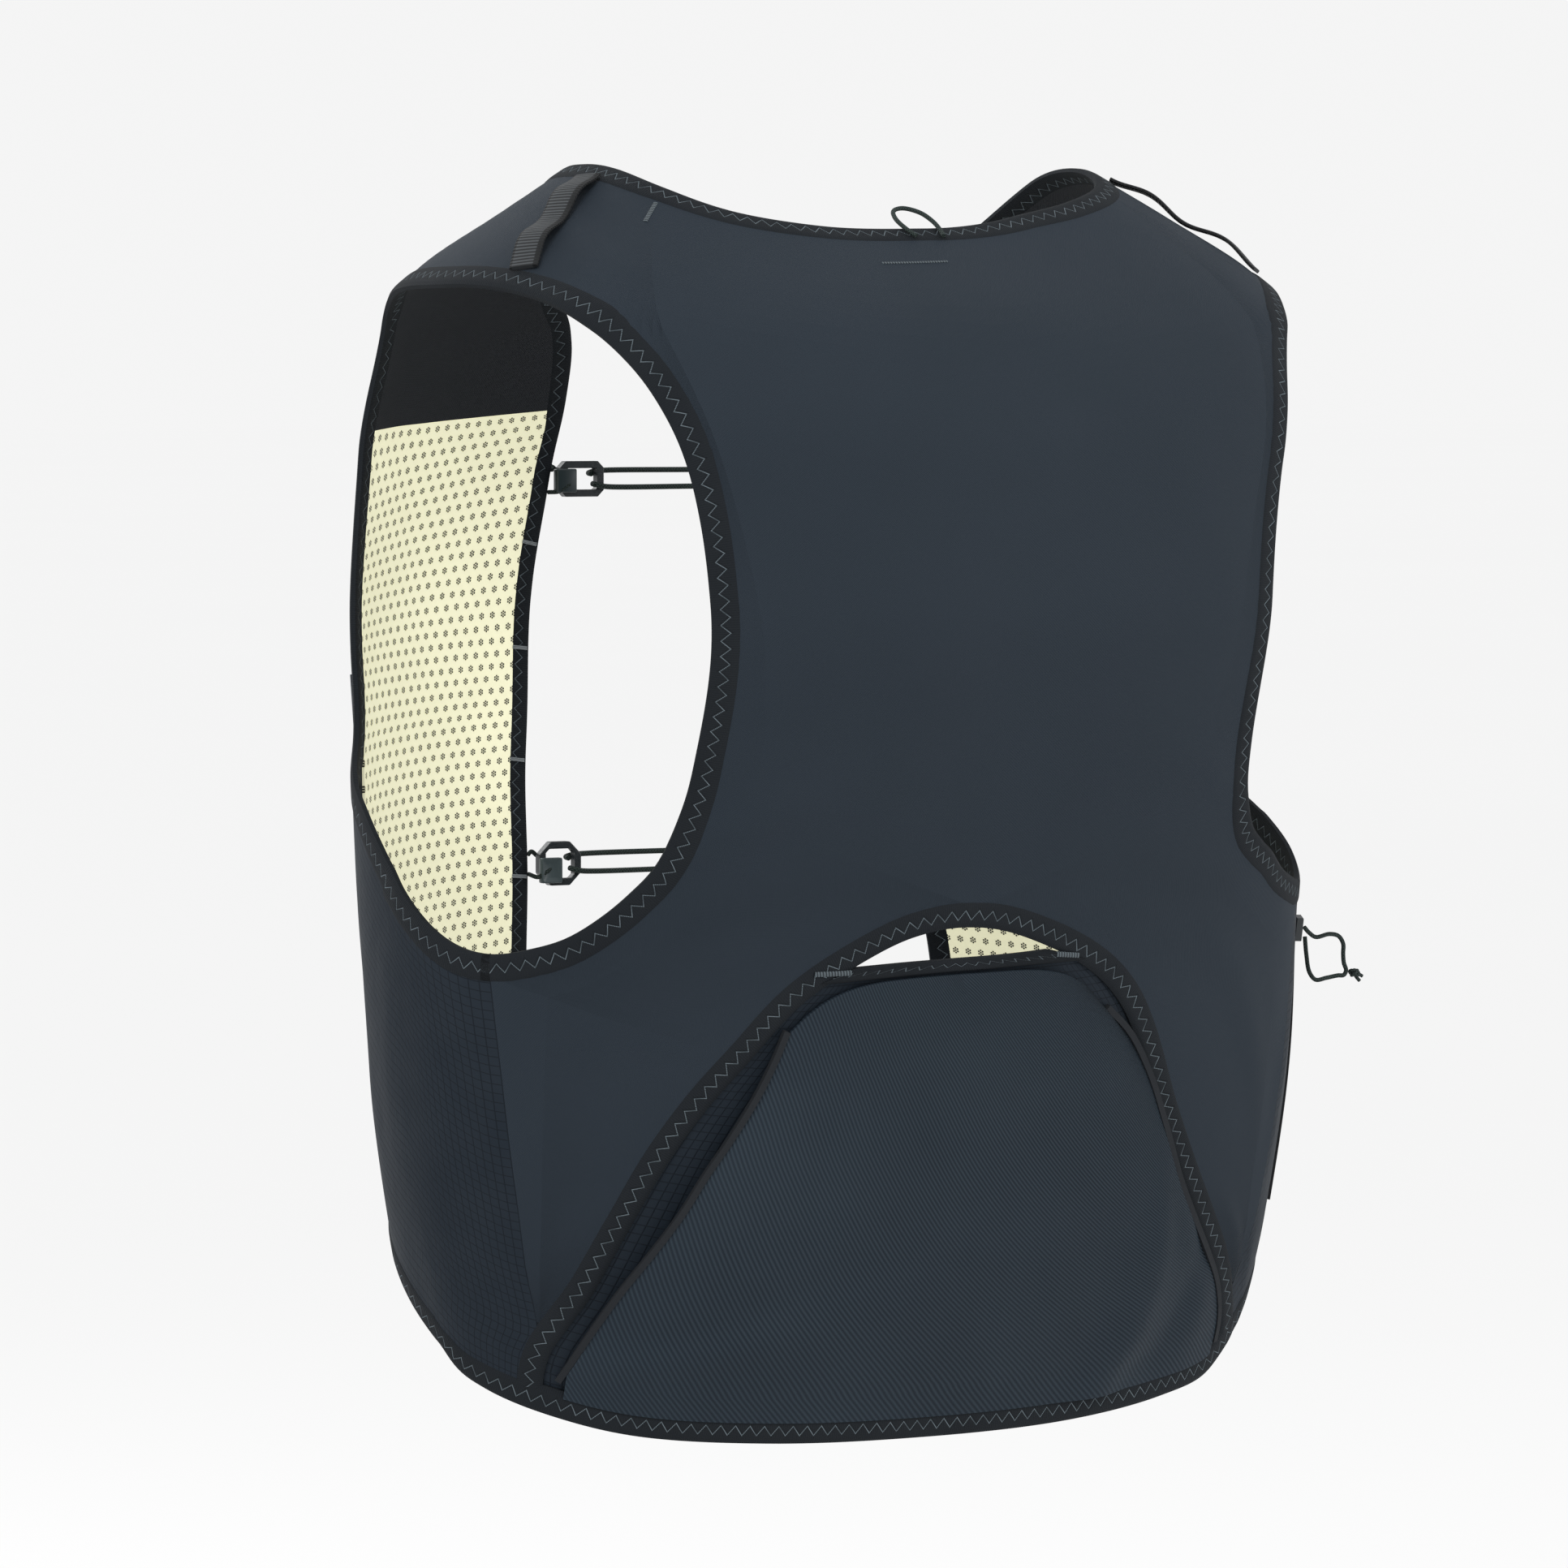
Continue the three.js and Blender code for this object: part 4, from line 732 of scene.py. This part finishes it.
for name, side in both_sides:
    route = armhole_routes[name]
    start, shoulder = (0.0, left_shoulder) if name == "left" else (1.0, right_shoulder)
    first_share = start + (1 if name == "left" else -1) * tuck / 1000 / neck_route.length
    up_steps, over_steps, cross_steps = 30, 60, 24
    edge = neck_route.beside(np.linspace(first_share, shoulder, up_steps + over_steps + 1), -tuck)
    arm_shoulder, arm_front = armhole_shares[name]
    over = route.beside(np.linspace(arm_front, arm_shoulder, over_steps + 1), side * tuck)
    outer = np.vstack([front_seams[name].at(np.linspace(0, 1, up_steps + 1))[:-1], over])
    u = np.linspace(0, 1, cross_steps + 1)[None, :, None]
    places = above_hem(edge[:, None] * (1 - u) + outer[:, None] * u)
    cloth_piece(
        "front_shell_" + name, places, *shell_lifts, shell, "shell", ["front_panel_" + name],
        is_sheet=True,
    )
    facing_start, facing_dip, dip_rows = 0.81, 0.014, 6  # it dips toward the front edge
    split = int(np.argmax(places[:, cross_steps // 2, 1] > facing_start))
    near_split = np.clip(1 - np.abs(np.arange(len(places)) - split) / dip_rows, 0, 1)
    places[..., 1] -= facing_dip * near_split[:, None] * (1 - u[0, :, 0])
    cloth_piece(
        "lining_net_" + name, places[: split + 1], 0.0, 0.9, net, "mesh", ["mesh_lining_" + name],
        is_sheet=True,
    )
    cloth_piece(
        "facing_knit_" + name, places[split:], 0.0, 1.1, facing_knit, "facing", ["shoulder_facing_" + name],
        is_sheet=True,
    )

# Seam allowances. Inside each side and front seam the raw edges lie open, as one narrow dark strip
# against the inner face of the cloth.
for name in ("left", "right"):
    for seam_name, seam in (("side", side_seams[name]), ("front", front_seams[name])):
        steps = np.linspace(0.01, 0.99, 50)
        places = above_hem(np.stack([seam.beside(steps, width) for width in (-3, -1, 1, 3)], axis=1))
        low = 0.7 if seam_name == "side" else 1.0
        cloth_piece(seam_name + "_seam_allowance_" + name, places, low, 1.35, ripstop, "ripstop", [])

# Bindings. Folded stretch tape wraps every raw edge: the neck and fronts in one run, the armholes,
# the hem, the arch and the pocket mouth. A grey-blue zigzag thread holds it down the middle.
tape = Finish("binding_tape", (0.01, 0.012, 0.015), 0.85, Specular_IOR_Level=0.15)
along, across = tape.cloth_way()
tape_width, zigzag_pitch, zigzag_reach = 10, 5.4, 1.7
zigzag = ((along / zigzag_pitch).maths("FRACT") - 0.5).maths("ABSOLUTE") * 4 - 1
off_line = (across - tape_width / 2 - zigzag * zigzag_reach).maths("ABSOLUTE")
thread = off_line.below(0.3, 0.08)
twist = (along + across * 0.7).wave(0.75) * 0.5 + 0.5
ribs = along.wave(0.8) * 0.5 + 0.5
tape_tone = tape.mixed(tape.noise(30.0, 3.0), (0.007, 0.009, 0.012), (0.013, 0.016, 0.019))
thread_tone = tape.mixed(twist, (0.04, 0.052, 0.06), (0.13, 0.16, 0.18))
tape.paint("Base Color", tape.mixed(thread, tape_tone, thread_tone))
tape.relief(ribs * 0.0001 + thread * 0.0004 - off_line.below(0.9, 0.3) * 0.00025, 1.0)


cross_shares = np.linspace(0, 1, 9)


def folded_tape(name, places, thickness, nodes, wraps=False):
    """A folded tape over a grid of places, with rounded long edges."""
    round_off = np.abs(2 * cross_shares - 1) ** 5
    low, high = 0.5 * round_off, thickness - 0.9 * round_off
    cloth_piece(name, places, low, high, tape, "binding", nodes, wraps=wraps)


def binding_piece(name, route, shares, width, wraps=False, clamp=False):
    """A folded tape beside a route."""
    places = np.stack([route.beside(shares, width * k) for k in cross_shares], axis=1)
    nodes = [name.replace("tape", "binding")]
    folded_tape(name, above_hem(places) if clamp else places, 3.0, nodes, wraps)


binding_piece("neck_front_tape", neck_route, np.linspace(0, 1, 420), -tape_width)
hem_end = 0.0104 / hem_route.length
binding_piece("hem_tape", hem_route, np.linspace(hem_end, 1 - hem_end, 300), tape_width)
tape_route = Route([(-59.6, 0.026), *arch_edge, (55.4, 0.033)])
binding_piece("arch_tape", tape_route, np.linspace(0, 1, 220), tape_width, clamp=True)
for name, side in both_sides:
    ring = np.linspace(0, 1, 241)[:-1]
    binding_piece("armhole_tape_" + name, armhole_routes[name], ring, side * tape_width, wraps=True)

# Rear pocket. A ribbed twill wall stands off a thin ripstop liner, closed at the hem and drawn
# under a bound top edge, with two narrow trims where its sides gape open.
pocket_left_edge = [
    (-55, 0.039), (-52, 0.053), (-47, 0.08), (-40.5, 0.119), (-36, 0.148), (-32, 0.178),
    (-28.6, 0.21), (-25.3, 0.24), (-22, 0.275), (-19.8, 0.305), (-18.6, 0.326),
]
pocket_right_edge = [
    (51.5, 0.039), (50, 0.056), (45, 0.088), (39.5, 0.118), (34.5, 0.15), (30, 0.187), (26, 0.236),
    (23, 0.276), (19.5, 0.312), (16, 0.334),
]
pocket_top_edge = [(-11.4, 0.377), (-6, 0.38), (-1, 0.382), (4, 0.384), (7.6, 0.386)]
pocket_top_line = [(-15.7, 0.352), (-5, 0.357), (3, 0.36), (12.6, 0.361)]
twill = Finish("pocket_twill", (0.014, 0.023, 0.033), 0.65, Specular_IOR_Level=0.15)
along, across = twill.cloth_way()
wale = (along * 0.8 + across).wave(1.7) * 0.5 + 0.5
lighter_patches = twill.noise(16.0, 3.0)
# The twill is painted lighter blue on its wale ridges and in random patches. This is a painted highlight
# over the cloth's own dark blue.
twill_tone = twill.mixed(wale * 0.55 + lighter_patches * 0.45, (0.004, 0.008, 0.014), (0.025, 0.038, 0.051))
twill.paint("Base Color", twill_tone)
twill.relief(wale * 0.0003 + twill.noise(50.0, 3.0) * 0.0008, 1.0)

shares = np.linspace(0, 1, 1500)
arch_turns = arch_route.at(shares)[:, 0]
left_share, right_share = (shares[np.argmax(arch_turns >= pocket_top_line[i][0])] for i in (0, -1))
pocket_rows, pocket_columns = 40, 48
rows, columns = np.linspace(0, 1, pocket_rows + 1), np.linspace(0, 1, pocket_columns + 1)


def pocket_places(left, right, top):
    """Places between the pocket's two sides, from the hem up to its top."""
    bottom = hem_place(np.linspace(left[0, 0], right[0, 0], pocket_columns + 1))
    left[0], right[0] = bottom[0], bottom[-1]
    return above_hem(patch(bottom, top, left, right))


liner_inset, liner_rise, wall_drop = 2.6, 1.6, 0.4
liner_left = arch_route.beside(left_share * rows, liner_inset)
liner_right = arch_route.beside(1 - (1 - right_share) * rows, liner_inset)
drawn = Route(pocket_top_line).at(columns)
bow = drawn[:, 1] - (drawn[0, 1] * (1 - columns) + drawn[-1, 1] * columns)
liner_top = between(liner_left[-1], liner_right[-1], pocket_columns)
liner_top[:, 1] += bow
liner_places = pocket_places(liner_left, liner_right, liner_top)
liner_places[-1, :, 1] += liner_rise / up_mm
cloth_piece(
    "pocket_liner_cloth", liner_places, 0.0, 1.0, ripstop, "ripstop", ["pocket_liner"], is_sheet=True
)

left_route, right_route = Route(pocket_left_edge), Route(pocket_right_edge)
left, right = left_route.at(rows), right_route.at(rows)
inward = between(left[-1], right[-1], pocket_columns)
drop = np.abs(2 * columns - 1) ** 4
wall_ups = liner_top[:, 1] - wall_drop / up_mm - drop * (liner_top[:, 1] - inward[:, 1])
wall_top = np.stack([inward[:, 0], wall_ups], axis=-1)
wall_top[0], wall_top[-1] = left[-1], right[-1]
wall_places = pocket_places(left, right, wall_top)


def pocket_lift(u, v):
    """Most in the lower middle; the side edges gape open half way up."""
    across = np.sin(np.pi * u) ** 0.8
    along = np.sin(np.pi * v**0.75)
    return 2.2 + 11 * across * along + 5 * (1 - across) * np.sin(np.pi * v)


# Folds of the pocket wall: their middle across and up, slant, width and length in shares of the
# wall, and their height in millimetres.
pocket_folds = [
    (0.84, 0.24, 66, 0.035, 0.3, 2.6), (0.9, 0.14, 58, 0.03, 0.22, -2.0), (0.76, 0.12, 74, 0.04, 0.2, 1.9),
    (0.12, 0.1, 20, 0.04, 0.22, 1.6), (0.2, 0.2, 38, 0.05, 0.3, -1.0), (0.5, 0.85, 4, 0.07, 0.5, -1.2),
    (0.35, 0.5, 60, 0.08, 0.4, 0.8), (0.62, 0.45, -65, 0.07, 0.4, 0.8), (0.97, 0.3, 80, 0.03, 0.3, 0.9),
]
U, V = np.meshgrid(columns, rows)
wall_lift = pocket_lift(U, V)
for u, v, *measures in pocket_folds:
    wall_lift = wall_lift + fold(U - u, V - v, *measures)
wall_lift = np.maximum(wall_lift, 2.0)
cloth_piece(
    "pocket_twill_wall", wall_places, wall_lift, wall_lift + 1.2, twill, "twill", ["pocket_panel"],
    is_sheet=True,
)
mouth_top, mouth_bottom = Route(pocket_top_edge).at(columns), liner_top + (0, wall_drop / up_mm)
mouth_places = np.stack([mouth_top * (1 - k) + mouth_bottom * k for k in cross_shares], axis=1)
folded_tape("pocket_mouth_tape", mouth_places, 3.2, ["pocket_top_binding"])
trim_finish = Finish("trim_cloth", (0.012, 0.014, 0.017), 0.8, Specular_IOR_Level=0.2)
trim_finish.relief(trim_finish.noise(400.0), 0.0003)
trim_finish.paint("Roughness", trim_finish.noise(60.0) * 0.2 + 0.7)
for name, side, route in (("left", -1, left_route), ("right", 1, right_route)):
    strip = above_hem(
        np.stack([route.beside(rows, -side * width) for width in (0.1, 0.8, 1.6, 2.4)], axis=1)
    )
    low = pocket_lift(0.0 if side < 0 else 1.0, rows)[:, None] - 0.5
    cloth_piece(
        "pocket_trim_tape_" + name, strip, low, low + 2.2, trim_finish, "binding", ["pocket_trim_" + name]
    )

# Shoulder webbing. A ribbed black tape is bar-tacked across each shoulder from the neck binding to
# the armhole binding, and stands up in two low loops between the tacks.
webbing = Finish("ribbed_webbing", (0.012, 0.013, 0.015), 0.7, Specular_IOR_Level=0.3)
along, across = webbing.cloth_way()
rib = along.wave(1.5) * 0.5 + 0.5
# The ribs are painted lighter in a band down the middle of the tape. This is a painted highlight on each
# rib, over the webbing's own near-black.
highlight_band = (across - 5.0).maths("ABSOLUTE").below(4.0, 0.1)
webbing.paint("Base Color", webbing.mixed(rib * highlight_band, (0.004, 0.005, 0.006), (0.06, 0.067, 0.073)))
webbing.relief(rib, 0.0003)


def up_front(side, count):
    """Shares of the neck route from the foot of one front up to its shoulder seam."""
    ends = (0, left_shoulder) if side < 0 else (1, right_shoulder)
    return np.linspace(*ends, count)


neck_end_turn, arm_end_turn, end_inset = 78, 69, 9.6
for name, side in both_sides:
    route = armhole_routes[name]
    span = up_front(side, 400)
    neck_share = span[np.argmax(np.abs(neck_route.at(span)[:, 0]) <= neck_end_turn)]
    arm_span = np.linspace(0, 1, 800)
    arm_share = arm_span[np.argmax(np.abs(route.at(arm_span)[:, 0]) >= arm_end_turn)]
    start = neck_route.beside(neck_share, -end_inset)
    stop = route.beside(arm_share, side * end_inset)
    line = Route([tuple(start), tuple((start + stop) / 2), tuple(stop)])
    steps = np.linspace(0, 1, 65)
    strip = np.stack([line.beside(steps, width) for width in (-5, -4, -2, 0, 2, 4, 5)], axis=1)
    low = (3.3 + 2.6 * np.sin(2 * np.pi * steps) ** 2)[:, None]
    edge = np.array([0.35, 0.05, 0, 0, 0, 0.05, 0.35])[None]
    cloth_piece(
        "shoulder_webbing_tape_" + name, strip, low + edge, low + 1.4 - edge, webbing, "webbing",
        ["shoulder_webbing_" + name],
    )

# Flask pockets. A plain ripstop pouch stands off each front and is open at the top; the photograph
# hides both but for a dark sliver behind the right armhole.
edge_inset, pouch_width, farthest_turn = 13, 78, 122
front_turn_mm = 2.2  # millimetres in one degree, on a front
pouch_lift, pouch_bulge, bulge_lean = 3.2, 15, 0.62
for name, side in both_sides:
    edge_places = neck_route.at(up_front(side, 800))
    u = v = np.linspace(0, 1, 31)
    ups = 0.2 + 0.4 * v
    edge_turns = np.abs(np.interp(ups, edge_places[:, 1], edge_places[:, 0]))
    near = edge_turns - edge_inset / front_turn_mm
    far = np.maximum(near - pouch_width / front_turn_mm, farthest_turn)
    turns = side * (near[:, None] * (1 - u) + far[:, None] * u)
    places = np.stack([turns, np.broadcast_to(ups[:, None], turns.shape)], axis=-1)
    bulge = np.sin(np.pi * u**bulge_lean)[None] * np.minimum(1, 1.6 * v)[:, None]
    low = pouch_lift + pouch_bulge * bulge
    cloth_piece(
        "flask_pouch_" + name, places, low, low + 1.2, ripstop, "ripstop", ["flask_pocket_" + name],
        is_sheet=True,
    )

# Side zip. A narrow zip on the wearer's right opens a pocket; its slider is small, black and
# moulded, and carries the pull cord.
zip_tape = Finish("zip_tape", (0.01, 0.011, 0.013), 0.7, Specular_IOR_Level=0.2)
along, across = zip_tape.cloth_way()
coil = (along / 1.3).maths("FRACT").below(0.5, 0.1) * (across - 3.5).maths("ABSOLUTE").below(1.3, 0.1)
zip_tape.paint("Base Color", zip_tape.mixed(coil, (0.01, 0.011, 0.013), (0.045, 0.05, 0.056)))
zip_tape.relief(coil, 0.0005)
zip_route = Route([(79, 0.388), (79, 0.259), (79, 0.13)])
steps = np.linspace(0, 1, 61)
zip_places = np.stack([zip_route.beside(steps, width) for width in np.linspace(-3.5, 3.5, 9)], axis=1)
zip_bulge = 0.5 * np.exp(-((np.linspace(-1, 1, 9) / 0.35) ** 2))
cloth_piece("side_zip_tape", zip_places, 3.0, 3.9 + zip_bulge, zip_tape, "webbing", ["side_zip"])

# Tacks and stitches. Short dense rows of pale thread cross the left front binding, hold the two
# ends of the pocket mouth to the arch, and fasten the shoulder seam and the loop at the neck.
pale_thread = Finish("pale_thread", (0.3, 0.33, 0.34), 0.6, Specular_IOR_Level=0.3)
along, across = pale_thread.cloth_way()
strand = across.wave(0.5) * 0.5 + 0.5
pale_thread.paint("Base Color", pale_thread.mixed(strand, (0.12, 0.14, 0.15), (0.4, 0.43, 0.45)))
pale_thread.relief(strand, 0.0003)
slate_thread = Finish("slate_thread", (0.05, 0.065, 0.075), 0.6, Specular_IOR_Level=0.3)
along, across = slate_thread.cloth_way()
strand = (along * (6.2832 / 1.1) + across).maths("SINE") * 0.5 + 0.5
slate_thread.paint("Base Color", slate_thread.mixed(strand, (0.012, 0.017, 0.022), (0.1, 0.125, 0.14)))
slate_thread.relief(strand, 0.0003)


def tack(name, first, last, width, low, high, finish):
    """A narrow raised row of thread from one place to another."""
    line = Route([tuple(first), tuple(last)])
    steps = np.linspace(0, 1, 13)
    places = np.stack([line.beside(steps, k * width) for k in (-0.5, -0.25, 0, 0.25, 0.5)], axis=1)
    round_off = np.array([0.15, 0, 0, 0, 0.15])
    cloth_piece(name, places, low, high - round_off, finish, "binding", [])


front_span = up_front(-1, 1500)
for i, up in enumerate((0.707, 0.617, 0.522, 0.409)):
    share = front_span[np.argmax(neck_route.at(front_span)[:, 1] >= up)]
    ends = neck_route.beside(share, -1.2), neck_route.beside(share, -7.8)
    tack(f"front_tack_{i}", *ends, 1.3, -0.45, 0.3, pale_thread)
for tack_name, first, last, width in (
    ("arch_tack_left", (-16.25, 0.373), (-12.0, 0.374), 1.8),
    ("arch_tack_right", (8.6, 0.383), (11.4, 0.381), 1.8),
    ("shoulder_tack", (-56.0, 0.978), (-54.75, 0.964), 1.5),
    ("neck_stitch_row", (-9.5, 0.961), (0.0, 0.965), 1.0),
):
    tack(tack_name, first, last, width, 2.3, 3.5 if "arch" in tack_name else 2.8, slate_thread)

# Hooks, plates and slider. Satin moulded plastic: two open hooks hang on the left front edge, two
# plain plates on the right, and the cords pass through their windows.
plastic = Finish("moulded_plastic", (0.012, 0.016, 0.019), 0.38)
grain = plastic.noise(900.0, 2.0)
plastic.paint("Roughness", grain * 0.2 + 0.3)
plastic.paint("Base Color", plastic.mixed(plastic.noise(120.0), (0.01, 0.014, 0.017), (0.02, 0.026, 0.03)))
plastic.relief(grain, 0.00005)
for node_name in (
    "bungee_hook_upper_left", "bungee_hook_lower_left", "bungee_anchor_upper_right",
    "bungee_anchor_lower_right", "zip_slider",
):
    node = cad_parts[node_name]
    node.data.materials.clear()
    node.data.materials.append(plastic.material)
    weld = node.modifiers.new("weld", "WELD")
    weld.merge_threshold = 0.00001
    bevel = node.modifiers.new("soft_edges", "BEVEL")
    bevel.width = 0.0004
    bevel.segments = 3
    bevel.angle_limit = radians(30)
    bevel.harden_normals = False

# Hook latches. A small block closes each left hook over its edge loop; the upper one is teal-grey
# and the lower one paler.
for latch_name, middle, size, colour in (
    ("hook_latch_upper", (-0.0506, 0.1046, -0.094), (0.0082, 0.0034, 0.0086), (0.022, 0.034, 0.038)),
    ("hook_latch_lower", (-0.0638, 0.0919, -0.2352), (0.0084, 0.0032, 0.0092), (0.06, 0.08, 0.085)),
):
    latch_finish = Finish(latch_name + "_plastic", colour, 0.35, Specular_IOR_Level=0.4)
    bpy.ops.object.select_all(action="DESELECT")
    bpy.ops.mesh.primitive_cube_add(size=1, location=(0, 0, 0))
    latch = bpy.context.object
    latch.name = latch_name
    bpy.ops.transform.resize(value=size)
    bpy.ops.transform.translate(value=middle)
    bpy.ops.object.transform_apply(location=True, rotation=True, scale=True)
    for face in latch.data.polygons:
        face.select = face.normal.y < -0.9
    bpy.ops.object.mode_set(mode="EDIT")
    bpy.ops.mesh.select_mode(type="FACE")
    rim, recess = 0.0018, 0.0009
    bpy.ops.mesh.inset(thickness=rim)
    bpy.ops.transform.translate(value=(0, recess, 0))
    bpy.ops.object.mode_set(mode="OBJECT")
    latch_bevel = latch.modifiers.new("round", "BEVEL")
    latch_bevel.width = 0.0006
    latch_bevel.segments = 3
    bpy.ops.object.modifier_apply(modifier="round")
    bpy.ops.object.shade_smooth_by_angle(angle=radians(40))
    latch.data.materials.append(latch_finish.material)
    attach(latch, "root")
